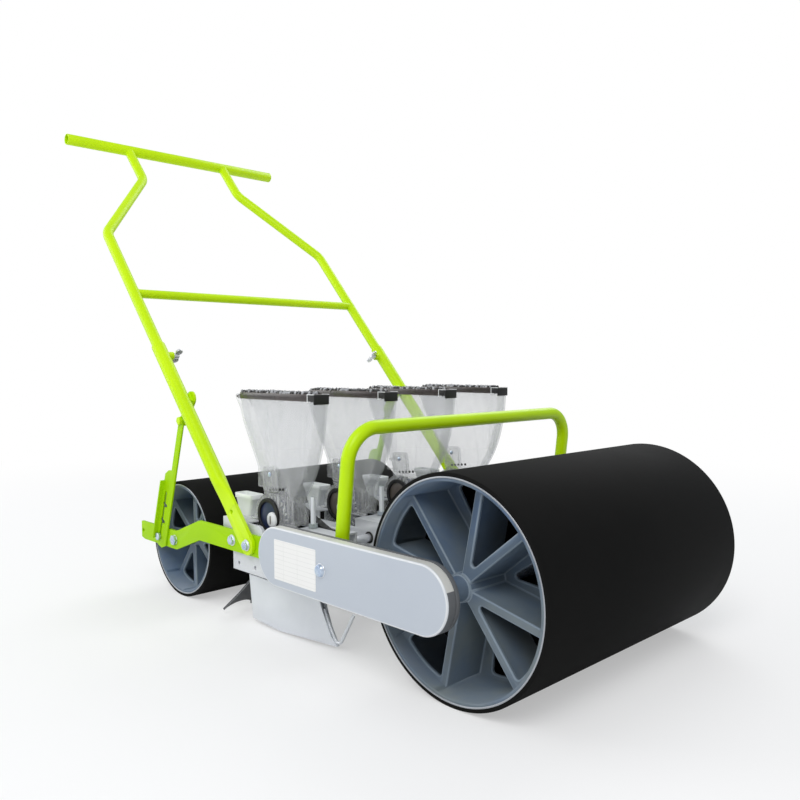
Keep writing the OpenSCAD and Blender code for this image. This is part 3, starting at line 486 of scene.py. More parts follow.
# Light grey lumps among the dark ones: painted highlight on the lid's rough top.
LIT_BEADS = Finish("rough_top_painted_highlight", (0.46, 0.47, 0.49), 0.25, shade=(0.20, 0.20, 0.21),
               mottle_size=240.0, relief=0.1)
CLEAR = ClearFinish("clear_moulding", (0.992, 0.992, 0.993), (0.70, 0.71, 0.72), density=0.018,
                    edge_density=0.42, streak=0.14)
THICK = ClearFinish("thick_clear_moulding", (0.975, 0.976, 0.976), (0.50, 0.51, 0.51),
                    density=0.045, edge_density=0.5, wave=0.3, wave_size=90.0, streak=0.3,
                    streak_size=60.0)
PANEL = RuledFinish()
FLOOR = FloorFinish()


# Mesh tools


def shown(name: str, data: bpy.types.ID) -> bpy.types.Object:
    """Makes an object and adds it to the scene.

    Args:
        name: The object's name.
        data: Its mesh, lamp or camera.

    Returns:
        The new object.
    """
    obj = bpy.data.objects.new(name, data)
    bpy.context.scene.collection.objects.link(obj)
    return obj


def settled(name: str, bm: bmesh.types.BMesh, sharp: float = 40.0) -> bpy.types.Object:
    """Turns a bmesh into an object with smooth faces and sharp corners.

    Args:
        name: The object's name.
        bm: The geometry, freed here.
        sharp: Corners steeper than this many degrees stay sharp.

    Returns:
        The new object.
    """
    mesh = bpy.data.meshes.new(name)
    bm.to_mesh(mesh)
    bm.free()
    mesh.shade_smooth()
    mesh.set_sharp_from_angle(angle=math.radians(sharp))
    return shown(name, mesh)


def centred(name: str, bm: bmesh.types.BMesh) -> bpy.types.Object:
    """Makes a shape to copy, with its middle at the origin.

    Args:
        name: The object's name.
        bm: The geometry, made round MIDDLE's x and a y of 0, freed here.

    Returns:
        The new object.
    """
    shape = settled(name, bm)
    shape.data.transform(Matrix.Translation((0.0, MIDDLE[1] * MM, 0.0)))
    return shape


def dressed(obj: bpy.types.Object, finish: Surface) -> bpy.types.Object:
    """Gives an object one finish on all its faces.

    Args:
        obj: The object.
        finish: The surface.

    Returns:
        The object.
    """
    obj.data.materials.clear()
    obj.data.materials.append(finish.material())
    return obj


def applied(obj: bpy.types.Object) -> bpy.types.Object:
    """Turns an object with modifiers into a plain mesh.

    Args:
        obj: The object.

    Returns:
        The object, without modifiers.
    """
    graph = bpy.context.evaluated_depsgraph_get()
    mesh = bpy.data.meshes.new_from_object(obj.evaluated_get(graph))
    obj.modifiers.clear()
    obj.data = mesh
    return obj


def mount(obj: bpy.types.Object, body: str, slot: str, *nodes: str) -> bpy.types.Object:
    """Ties a finished piece to the frame.

    Args:
        obj: The piece, in place.
        body: The CAD body that it moves with.
        slot: The record's material slot; not used.
        nodes: The CAD nodes that it stands for, if any.

    Returns:
        The piece.
    """
    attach(obj, body)
    if nodes:
        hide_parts(*nodes)
    LOG.info("piece %s rides on %s", obj.name, body)
    return obj


def mount_like(obj: bpy.types.Object, node: str, *nodes: str) -> bpy.types.Object:
    """Ties a finished piece to the body of a CAD node.

    Args:
        obj: The piece, in place.
        node: The CAD node whose body and slot it takes.
        nodes: The CAD nodes that it stands for, if any.

    Returns:
        The piece.
    """
    return mount(obj, frame["nodes"][node]["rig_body"], SLOTS[node], *nodes)


def fitted(name: str, bm: bmesh.types.BMesh, finish: Surface, body: str, slot: str, *nodes: str,
           sharp: float = 40.0) -> bpy.types.Object:
    """Makes a piece of a bmesh, gives it its finish and ties it to the frame.

    Args:
        name: The piece's name.
        bm: The geometry, freed here.
        finish: The surface.
        body: The CAD body that it moves with.
        slot: The record's material slot, passed on to mount.
        nodes: The CAD nodes that it stands for, if any.
        sharp: Corners steeper than this many degrees stay sharp.

    Returns:
        The new piece.
    """
    return mount(dressed(settled(name, bm, sharp), finish), body, slot, *nodes)


def softened(node: str, finish: Surface, width: float, steps: int = 2, clamp: bool = True,
             picks: Callable[[Vector], bool] | None = None) -> bpy.types.Object:
    """Makes a piece in the shape of a CAD node with its edges rounded, and shows it instead.

    Args:
        node: The CAD node to follow.
        finish: The surface of the new piece.
        width: Width of the rounding in millimetres.
        steps: Faces across each rounding.
        clamp: Whether the rounding shrinks everywhere to fit the shortest edges.
        picks: Tells by an edge's middle whether to round it; all edges where left out.

    Returns:
        The new piece.
    """
    bm = bmesh.new()
    bm.from_mesh(frame["nodes"][node].data)
    bmesh.ops.remove_doubles(bm, verts=bm.verts, dist=2e-6)
    bmesh.ops.dissolve_limit(bm, angle_limit=math.radians(1.0), verts=bm.verts, edges=bm.edges)
    corner = math.radians(28.0)
    hard = [e for e in bm.edges if e.is_manifold and e.calc_face_angle(0.0) > corner]
    if picks:
        hard = [e for e in hard if picks((e.verts[0].co + e.verts[1].co) / 2)]
    # Bevel faces are marked so that the finish can paint a highlight on them.
    layer = bm.faces.layers.float.new("edge")
    if hard:
        made = bmesh.ops.bevel(bm, geom=hard, offset=width * MM, segments=steps, profile=0.6,
                               affect="EDGES", clamp_overlap=clamp)
        for face in made["faces"]:
            face[layer] = 1.0
    return mount_like(dressed(settled(f"{node}.shaped", bm, 48.0), finish), node, node)


def carved(obj: bpy.types.Object, middle: Vector, size: Flat, tilt: float = 0.0) -> None:
    """Cuts a box out of a piece.

    Args:
        obj: The piece.
        middle: The box's middle in metres.
        size: The box's sides in millimetres.
        tilt: Turn of the box about Y in degrees.
    """
    bm = bmesh.new()
    turn = Matrix.Rotation(math.radians(tilt), 4, "Y")
    sides = Matrix.Diagonal((size[0] * MM, size[1] * MM, size[2] * MM, 1.0))
    bmesh.ops.create_cube(bm, size=1.0, matrix=Matrix.Translation(middle) @ turn @ sides)
    cutter = settled("cutter", bm)
    step = obj.modifiers.new("cut", "BOOLEAN")
    step.operation = "DIFFERENCE"
    step.solver = "EXACT"
    step.object = cutter
    applied(obj)
    bpy.data.objects.remove(cutter)


def trimmed(obj: bpy.types.Object, gone: Callable[[Vector], bool]) -> None:
    """Takes away the points of a piece that a test names.

    Args:
        obj: The piece.
        gone: Tells by a point's place whether it goes.
    """
    bm = bmesh.new()
    bm.from_mesh(obj.data)
    bmesh.ops.delete(bm, geom=[v for v in bm.verts if gone(v.co)], context="VERTS")
    bm.to_mesh(obj.data)
    bm.free()


def skin(bm: bmesh.types.BMesh, low: Sequence[bmesh.types.BMVert],
         high: Sequence[bmesh.types.BMVert]) -> list[bmesh.types.BMFace]:
    """Joins two closed rows of points by faces.

    Args:
        bm: Where the faces go.
        low: The first row.
        high: The second row, with as many points.

    Returns:
        The new faces.
    """
    faces = []
    for i in range(len(low)):
        j = (i + 1) % len(low)
        faces.append(bm.faces.new((low[i], low[j], high[j], high[i])))
    return faces


def lathe(profile: Sequence[Flat], x: float, z: float, steps: int, y: float = 0.0) -> bmesh.types.BMesh:
    """Turns a closed profile about an axis along Y.

    Args:
        profile: Corners as (radius, y) in millimetres, in order round the section.
        x: The axis's distance forward.
        z: The axis's height.
        steps: Faces round the axis.
        y: Shift of the profile along the axis.

    Returns:
        The closed ring as a bmesh.
    """
    bm = bmesh.new()
    rings = [[bm.verts.new(at(x + r * c, y + side, z + r * d)) for r, side in profile]
             for c, d in circle(steps)]
    for low, high in zip(rings, rings[1:] + rings[:1]):
        skin(bm, low, high)
    bmesh.ops.recalc_face_normals(bm, faces=bm.faces)
    return bm


def prism(bm: bmesh.types.BMesh, outline: Sequence[Flat], y0: float, y1: float) -> None:
    """Adds a straight block with an outline in x and z between two y planes.

    Args:
        bm: Where the block goes.
        outline: Corners as (x, z) in millimetres.
        y0: The nearer plane.
        y1: The farther plane.
    """
    low = [bm.verts.new(at(x, y0, z)) for x, z in outline]
    high = [bm.verts.new(at(x, y1, z)) for x, z in outline]
    made = [bm.faces.new(low), bm.faces.new(high[::-1])] + skin(bm, high, low)
    bmesh.ops.recalc_face_normals(bm, faces=made)


def loft(bm: bmesh.types.BMesh, rings: Sequence[Sequence[Vector]], capped: bool = True) -> None:
    """Joins rings of points into a skin.

    Args:
        bm: Where the skin goes.
        rings: Rows of places in metres, all with the same number of points.
        capped: Whether both ends are closed.
    """
    rows = [[bm.verts.new(p) for p in ring] for ring in rings]
    made = []
    for low, high in zip(rows, rows[1:]):
        made += skin(bm, low, high)
    if capped:
        made += [bm.faces.new(rows[0][::-1]), bm.faces.new(rows[-1])]
    bmesh.ops.recalc_face_normals(bm, faces=made)


def rounded(outline: Sequence[Flat], radius: float, steps: int = 4) -> list[Flat]:
    """Rounds the corners of a closed outline.

    Args:
        outline: Corners as pairs in millimetres.
        radius: Radius of every corner.
        steps: Segments in each corner.

    Returns:
        The outline with arcs in place of its corners.
    """
    points: list[Flat] = []
    count = len(outline)
    for i in range(count):
        here = Vector(outline[i])
        back = (Vector(outline[i - 1]) - here).normalized()
        ahead = (Vector(outline[(i + 1) % count]) - here).normalized()
        half = back.angle(ahead) / 2
        reach = radius / math.tan(half)
        centre = here + (back + ahead).normalized() * radius / math.sin(half)
        first, last = here + back * reach - centre, here + ahead * reach - centre
        turn = first.angle_signed(last)
        for k in range(steps + 1):
            a = -turn * k / steps
            c, d = math.cos(a), math.sin(a)
            points.append((centre.x + c * first.x - d * first.y, centre.y + d * first.x + c * first.y))
    return points


def thread(bm: bmesh.types.BMesh, x: float, y: float, z0: float, z1: float, r: float,
           step: float = 1.25, sides: int = 20) -> None:
    """Adds an upright threaded rod with a narrower flat top and bottom.

    Args:
        bm: Where the rod goes.
        x: The rod's distance forward.
        y: Its distance from the middle plane.
        z0: Its lower end.
        z1: Its upper end.
        r: Its outer radius in millimetres.
        step: The thread's pitch.
        sides: Faces round the rod.
    """
    rings = []
    depth, end_cut, per_turn = 0.62 * step, 0.7, 4
    count = int((z1 - z0) / step * per_turn)
    for k in range(count + 1):
        z = z0 + (z1 - z0) * k / count
        ring = []
        for i, (c, d) in enumerate(circle(sides)):
            wave = abs(((z / step - i / sides) % 1.0) * 2 - 1)
            cut = end_cut if k in (0, count) else depth * wave
            ring.append(at(x + (r - cut) * c, y + (r - cut) * d, z))
        rings.append(ring)
    loft(bm, rings)


# Geometry nodes


class Grower:
    """A Geometry Nodes tree with named inputs that turns a seed mesh into a piece."""

    def __init__(self, name: str, inputs: dict[str, str]) -> None:
        """Makes the tree and its sockets.

        Args:
            name: The tree's name.
            inputs: Socket type by input name, apart from the mesh and the material.
        """
        self.group = bpy.data.node_groups.new(name, "GeometryNodeTree")
        self.kit = NodeKit(self.group)
        face = self.group.interface
        face.new_socket("Geometry", in_out="INPUT", socket_type="NodeSocketGeometry")
        face.new_socket("Geometry", in_out="OUTPUT", socket_type="NodeSocketGeometry")
        self.ids = {key: face.new_socket(key, in_out="INPUT", socket_type=f"NodeSocket{kind}").identifier
                    for key, kind in {**inputs, "Material": "Material"}.items()}
        self.given = self.kit.add("NodeGroupInput").outputs

    def close(self, geometry: bpy.types.NodeSocket) -> None:
        """Ends the tree with Realize Instances and Set Material.

        Args:
            geometry: What the tree has made.
        """
        real = self.kit.get("GeometryNodeRealizeInstances", {"Geometry": geometry})
        paint = self.kit.get("GeometryNodeSetMaterial", {"Geometry": real,
                                                         "Material": self.given["Material"]})
        self.kit.add("NodeGroupOutput", {"Geometry": paint})

    def grow(self, name: str, seed: bpy.types.Mesh, finish: Surface, **values: object) -> bpy.types.Object:
        """Runs the tree on a seed mesh and keeps the result as a plain mesh.

        Args:
            name: The new object's name.
            seed: The mesh that the tree starts from.
            finish: The surface.
            values: The tree's other inputs by name.

        Returns:
            The object, without the modifier.
        """
        obj = shown(name, seed)
        step = obj.modifiers.new("grow", "NODES")
        step.node_group = self.group
        for key, value in {**values, "Material": finish.material()}.items():
            step[self.ids[key]] = value
        applied(obj).data.name = name
        return obj


class TubeGrower(Grower):
    """Sweeps a round bar along a path and rounds its bends."""

    def __init__(self) -> None:
        """Builds the tree."""
        super().__init__("bent_tube", {"Radius": "Float", "Bend": "Float", "Sides": "Int", "Cuts": "Int"})
        kit, given = self.kit, self.given
        line = kit.get("GeometryNodeMeshToCurve", {0: given["Geometry"]})
        bend = kit.get("GeometryNodeFilletCurve", {"Curve": line, "Radius": given["Bend"], "Count": 14,
                                                   "Limit Radius": True}, mode="POLY")
        path = kit.get("GeometryNodeSubdivideCurve", {"Curve": bend, "Cuts": given["Cuts"]})
        ring = kit.get("GeometryNodeCurvePrimitiveCircle", {"Radius": given["Radius"],
                                                            "Resolution": given["Sides"]})
        sweep = kit.get("GeometryNodeCurveToMesh", {"Curve": path, "Profile Curve": ring,
                                                    "Fill Caps": True})
        self.close(kit.get("GeometryNodeSetShadeSmooth", {0: sweep}))

    def tube(self, name: str, paths: Sequence[Sequence[Vector]], radius: float, bend: float,
             finish: Surface, sides: int, cuts: int = 0) -> bpy.types.Object:
        """Makes round bars along rows of points.

        Args:
            name: The piece's name.
            paths: Rows of points in metres.
            radius: The bar's radius in millimetres.
            bend: The bend radius in millimetres.
            finish: The surface.
            sides: Faces round the bar.
            cuts: Extra rings in each straight stretch.

        Returns:
            The piece.
        """
        seed = bpy.data.meshes.new(f"{name}.path")
        verts, edges = [], []
        for path in paths:
            first = len(verts)
            verts += [tuple(p) for p in path]
            edges += [(first + i, first + i + 1) for i in range(len(path) - 1)]
        seed.from_pydata(verts, edges, [])
        obj = self.grow(name, seed, finish, Radius=radius * MM, Bend=bend * MM, Sides=sides, Cuts=cuts)
        bm = bmesh.new()
        bm.from_mesh(obj.data)
        bmesh.ops.remove_doubles(bm, verts=bm.verts, dist=MERGE)
        bmesh.ops.recalc_face_normals(bm, faces=bm.faces)
        bm.to_mesh(obj.data)
        bm.free()
        obj.data.set_sharp_from_angle(angle=math.radians(50))
        return obj


class RepeatGrower(Grower):
    """Sets a copy of one shape on every point, turned and sized by the point's own values."""

    def __init__(self) -> None:
        """Builds the tree."""
        super().__init__("repeated_shape", {"Shape": "Object"})
        kit, given = self.kit, self.given
        shape = kit.get("GeometryNodeObjectInfo", {"Object": given["Shape"]}, "Geometry")
        turn, grow = (kit.get("GeometryNodeInputNamedAttribute", {"Name": name}, "Attribute",
                              data_type="FLOAT_VECTOR") for name in ("turn", "grow"))
        euler = kit.get("FunctionNodeEulerToRotation", {0: turn})
        self.close(kit.get("GeometryNodeInstanceOnPoints", {"Points": given["Geometry"], "Instance": shape,
                                                            "Rotation": euler, "Scale": grow}))

    def repeat(self, name: str, shape: bpy.types.Object, places: Sequence[Vector],
               turns: Sequence[Flat], finish: Surface, sizes: Sequence[Flat] = ()) -> bpy.types.Object:
        """Copies a shape onto places.

        Args:
            name: The piece's name.
            shape: The shape to copy; it is removed afterwards.
            places: Where the copies go, in metres.
            turns: Euler angles of each copy, in radians.
            finish: The surface.
            sizes: Scale of each copy, 1 where left out.

        Returns:
            The piece.
        """
        seed = bpy.data.meshes.new(f"{name}.places")
        seed.from_pydata([tuple(p) for p in places], [], [])
        for key, rows in (("turn", turns), ("grow", sizes or [(1.0, 1.0, 1.0)] * len(places))):
            data = seed.attributes.new(key, "FLOAT_VECTOR", "POINT").data
            for item, row in zip(data, rows):
                item.vector = row
        obj = self.grow(name, seed, finish, Shape=shape)
        bpy.data.objects.remove(shape)
        for key in ("turn", "grow"):
            if key in obj.data.attributes:
                obj.data.attributes.remove(obj.data.attributes[key])
        obj.data.set_sharp_from_angle(angle=math.radians(40))
        return obj


TUBES = TubeGrower()
COPIES = RepeatGrower()


# Drums


@dataclass
class Drum:
    """A drum: rubber sleeve, steel shell and two moulded spoked ends, sizes in millimetres."""

    name: str
    x: float
    radius: float
    body: str
    length: float = 450.0
    sleeve_t: float = 5.0
    shell_t: float = 2.0
    soft: float = 1.4
    lip: float = 0.4
    unshaded_width: float = 40.0
    steps: int = 192

    def build(self) -> None:
        """Builds and dresses all pieces of the drum."""
        half, r, soft = self.length / 2, self.radius, self.soft
        a = r - self.sleeve_t
        b = a - self.shell_t
        cut = soft * 0.3
        outer = [(r - soft, -half), (r - cut, -half + cut), (r, -half + soft), (r, half - soft),
                 (r - cut, half - cut), (r - soft, half), (a, half), (a, -half)]
        fitted(f"{self.name}_sleeve.shaped", lathe(outer, self.x, r, self.steps), RUBBER, self.body,
               "black_rubber", f"{self.name}_sleeve")
        end = half + self.lip
        deep = half - self.unshaded_width
        tube = [(a, -half), (a, half), (a - 0.5, end), (b + 0.5, end), (b, half), (b, deep),
                (b, -deep), (b, -half), (b + 0.5, -end), (a - 0.5, -end)]
        shell = fitted(f"{self.name}_shell.shaped", lathe(tube, self.x, r, self.steps), RIM, self.body,
                       "plain_steel", f"{self.name}_shell")
        # The inner wall away from the ends turns near-black: painted shade inside the drum.
        shell.data.materials.append(INNER_SHADE.material())
        hub = at(self.x, 0.0, r)
        dark = (deep + 1.0) * MM
        for face in shell.data.polygons:
            gap = face.center - hub
            if math.hypot(gap[0], gap[2]) < (b + 0.3) * MM and abs(gap[1]) < dark:
                face.material_index = 1
        for side, _ in SIDES:
            # The rounded edges of the spokes and windows get the painted highlight.
            softened(f"{self.name}_end_{side}", SLATE, 1.8, 3, clamp=False,
                     picks=lambda p: math.hypot(p[0] - hub[0], p[2] - hub[2]) < (b - 5.0) * MM)


# Frame


@dataclass
class FrameWork:
    """Side plates, arms, cross tubes, front loop, shafts and bolts, sizes in millimetres."""

    loop_y: float = 239.5
    loop_r: float = 9.5
    loop_top: float = 318.0
    loop_foot: float = 112.0
    loop_x0: float = 448.6
    loop_bend: float = 45.0
    lean: float = 7.0
    washer_r: float = 8.6
    washer_t: float = 1.3
    washer_soft: float = 0.4
    bolt_r: float = 3.0
    both_sides: Sequence[Flat] = ((204.0, 249.0, 133.6), (253.0, 255.2, 134.5), (0.0, 237.0, 100.0))
    far_only: Sequence[Flat] = ((300.6, 254.0, 133.6), (388.6, 254.0, 133.6), (450.0, 254.0, 122.0),
                                (453.7, 254.0, 152.0))

    def build(self) -> None:
        """Builds and dresses all pieces of the frame."""
        for side, _ in SIDES:
            softened(f"side_plate_{side}", SILVER, 0.8)
            softened(f"front_arm_{side}", SILVER, 0.8)
            # The arms take the darker copy of the green paint: painted shade.
            softened(f"arm_{side}", SHADED_GREEN, 0.8)
        softened("cross_tubes", SILVER, 1.5)
        softened("rear_axle", ZINC, 0.6)
        softened("frame_bolts", ZINC, 0.6)
        softened("bushes", BLACK, 0.4)
        self._loop()
        self._washers()

    def _loop(self) -> None:
        """Builds the bent front loop."""
        foot, top = self.loop_foot, self.loop_top
        slope = math.tan(math.radians(self.lean))
        path = [at(self.loop_x0 + (z - foot) * slope, sign * self.loop_y, z)
                for sign, z in ((-1, foot), (-1, top), (1, top), (1, foot))]
        loop = TUBES.tube("front_loop.shaped", [path], self.loop_r, self.loop_bend, LOOP, 40)
        mount(loop, "frame", "green_paint", "front_loop")

    def _washers(self) -> None:
        """Sets a washer under each bolt head that shows."""
        r, t, soft = self.washer_r, self.washer_t, self.washer_soft
        ring = [(r, 0.0), (r, t - soft), (r - soft, t), (self.bolt_r, t), (self.bolt_r, 0.0)]
        spots = [(x, sign * y, z) for x, y, z in self.both_sides for _, sign in SIDES]
        spots += self.far_only
        turns = [(math.pi if y < 0.0 else 0.0, 0.0, 0.0) for _, y, _ in spots]
        shape = centred("washer", lathe(ring, MIDDLE[0], 0.0, 28))
        washers = COPIES.repeat("frame_washers", shape, [at(*spot) for spot in spots], turns, BRIGHT)
        mount(washers, "frame", "zinc_steel")


@dataclass
class ChainDrive:
    """Chain case with panel and screw, chain, cross shaft and front axle, sizes in millimetres."""

    face_y: float = -275.0
    rounding: float = 2.2
    lit_top_slope: float = 0.35
    panel: Sequence[Flat] = ((353.0, 108.0), (445.0, 108.0), (445.0, 163.0), (353.0, 163.0))
    panel_r: float = 1.5
    screw: Flat = (454.6, 138.0)
    screw_head: Sequence[Flat] = ((2.6, -1.2), (2.9, -3.4), (4.2, -3.9), (6.0, -3.2), (7.2, -1.9),
                                  (7.6, -0.9), (9.0, -0.9), (9.4, -0.5), (9.4, 0.1), (0.02, 0.1),
                                  (0.02, -1.2))

    def build(self) -> None:
        """Builds and dresses all pieces of the chain drive."""
        softened("chain_case_back", CASE_SHADED_SIDE, 0.8)
        cover = softened("chain_case_cover", CASE_SHADED_SIDE, self.rounding, 4, clamp=False)
        cover.data.materials.append(CASE.material())
        cover.data.materials.append(CASE_LIT_TOP.material())
        # Near-side faces keep the case paint; upward faces take the lighter copy, painted light, and the
        # rest take the darker copy, painted shade.
        front = at(0.0, self.face_y + self.rounding + 0.1, 0.0)[1]
        for face in cover.data.polygons:
            if face.center[1] < front:
                face.material_index = 1
            elif face.normal[2] > self.lit_top_slope:
                face.material_index = 2
        for node in ("chain", "front_axle"):
            dressed(frame["nodes"][node], ZINC)
        softened("drive_shaft", BRIGHT, 0.5)
        bm = bmesh.new()
        prism(bm, rounded(self.panel, self.panel_r), self.face_y - 0.3, self.face_y + 0.1)
        fitted("case_panel", bm, PANEL, "frame", "case_paint")
        fitted("case_screw", lathe(self.screw_head, *self.screw, 40, self.face_y), BRIGHT, "frame",
               "zinc_steel")


# Handle


@dataclass
class Handle:
    """Lower legs, upper frame, struts and wing screws, sizes in millimetres.

    The pairs of flattening are a distance along the leg and how round the tube is there.
    """

    pivot: Flat = (253.0, 134.5)
    angle: float = 48.0
    tube_y: float = 252.0
    tube_r: float = 9.5
    tube_bend: float = 40.0
    bar_r: float = 11.0
    bar_wall: float = 1.5
    bar_len: float = 496.0
    bends: Flat = (254.0, 695.0, 886.0, 985.0)
    joint_y: float = 115.0
    brace_at: float = 533.0
    brace_r: float = 8.0
    sleeve_r: float = 11.48
    flat_t: float = 6.0
    flat_w: float = 30.0
    flat_power: float = 0.34
    skin: float = 0.1
    cut_at: float = 97.0
    cut_size: Flat = (66.0, 26.0, 40.0)
    flattening: Sequence[Flat] = ((64.2, 0.0), (80.0, 0.0), (86.0, 0.05), (92.0, 0.16), (98.0, 0.34),
                                  (104.0, 0.56), (110.0, 0.77), (116.0, 0.92), (122.0, 0.99),
                                  (130.0, 1.0), (403.0, 1.0))
    bead: float = 1.5
    bead_steps: int = 44

    def along(self, s: float, y: float, n: float = 0.0) -> Vector:
        """Returns a place along the leg.

        Args:
            s: Distance from the pivot along the leg.
            y: Distance from the middle plane.
            n: Distance above the leg's line.

        Returns:
            The place in metres.
        """
        c, d = math.cos(math.radians(self.angle)), math.sin(math.radians(self.angle))
        return at(self.pivot[0] - c * s + d * n, y, self.pivot[1] + d * s + c * n)

    def build(self) -> None:
        """Builds and dresses all pieces of the handle."""
        for side, sign in SIDES:
            # Legs take the lighter copy of the green paint, painted light; struts take the darker one,
            # painted shade.
            leg = softened(f"leg_{side}", LIT_GREEN, 0.7)
            carved(leg, self.along(self.cut_at, sign * self.tube_y), self.cut_size, self.angle)
            softened(f"strut_{side}", SHADED_GREEN, 0.6)
            softened(f"wing_bolt_{side}", BRIGHT, 0.5)
        for side, sign in SIDES:
            self._taper(side, sign)
        self._upper()
        self._welds()

    def _taper(self, side: str, sign: int) -> None:
        """Builds the leg's tube, which is pressed flat towards its foot.

        Args:
            side: Name of the leg's side.
            sign: -1 for the near leg, 1 for the far one.
        """
        low_w, low_t = self.flat_w / 2, self.flat_t / 2
        rings = []
        for s, share in self.flattening:
            power = self.flat_power + (1.0 - self.flat_power) * share
            wide = low_w + self.skin + (self.sleeve_r - low_w) * share
            thick = low_t + self.skin + (self.sleeve_r - low_t) * share
            rings.append([self.along(s, sign * self.tube_y + thick * math.copysign(abs(d) ** power, d),
                                     wide * math.copysign(abs(c) ** power, c)) for c, d in circle(48)])
        bm = bmesh.new()
        loft(bm, rings, capped=False)
        fitted(f"leg_{side}_tube", bm, LIT_GREEN, "handle_lower", "green_paint", sharp=60.0)

    def _upper(self) -> None:
        """Builds the tubes, the brace and the cross bar of the upper frame."""
        spots = list(zip(self.bends, (self.tube_y, self.tube_y, self.joint_y, self.joint_y)))
        paths = [[self.along(s, sign * y) for s, y in spots] for _, sign in SIDES]
        tubes = TUBES.tube("handle_tubes", paths, self.tube_r, self.tube_bend, LIT_GREEN, 32, 9)
        mount(tubes, "handle_top", "green_paint", "handle_upper")
        line = [self.along(self.brace_at, sign * self.tube_y) for _, sign in SIDES]
        brace = TUBES.tube("handle_brace", [line], self.brace_r, 1.0, LIT_GREEN, 28, 24)
        mount(brace, "handle_top", "green_paint")
        end = self.along(self.bends[3], 0.0)
        x, z = end[0] / MM + MIDDLE[0], end[2] / MM
        half, r, inner = self.bar_len / 2, self.bar_r, self.bar_r - self.bar_wall
        ring = [(r, -half + 0.6), (r, half - 0.6), (r - 0.5, half), (inner, half), (inner, -half),
                (r - 0.5, -half)]
        fitted("handle_bar", lathe(ring, x, z, 36), LIT_GREEN, "handle_top", "green_paint")

    def _welds(self) -> None:
        """Lays weld beads round the joints of the upper frame."""
        bm = bmesh.new()
        for _, sign in SIDES:
            loft(bm, self._bead(self.bends[3], sign * self.joint_y, self.tube_r, self.bar_r, True), False)
            loft(bm, self._bead(self.brace_at, sign * self.tube_y, self.brace_r, self.tube_r, False), False)
        bmesh.ops.remove_doubles(bm, verts=bm.verts, dist=MERGE)
        bmesh.ops.recalc_face_normals(bm, faces=bm.faces)
        fitted("handle_welds", bm, LIT_GREEN, "handle_top", "green_paint", sharp=80.0)

    def _bead(self, s: float, y: float, r: float, target: float, upright: bool) -> list[list[Vector]]:
        """Works out an uneven bead where one tube ends on another.

        Args:
            s: Distance of the joint from the pivot along the leg.
            y: Distance of the joint from the middle plane.
            r: Radius of the tube that ends.
            target: Radius of the tube it ends on.
            upright: Whether the tube that ends runs along the leg, and not along Y.

        Returns:
            The bead's rings, the first one again at the end.
        """
        rings = []
        for k, (c, d) in enumerate(circle(self.bead_steps)):
            a = 2 * math.pi * k / self.bead_steps
            swell = self.bead + 0.35 * math.sin(a * 17.0) + 0.2 * math.sin(a * 29.0 + 1.0)
            ring = []
            for across, up in circle(8):
                out = r + swell * 0.6 * across
                lift = math.sqrt(max(target ** 2 - (out * d) ** 2, 0.0))
                depth = lift + swell * 0.8 * up - 0.3
                if upright:
                    ring.append(self.along(s - depth, y + out * c, out * d))
                else:
                    ring.append(self.along(s + out * c, y - math.copysign(depth, y), out * d))
            rings.append(ring)
        return rings + rings[:1]


# Seed units


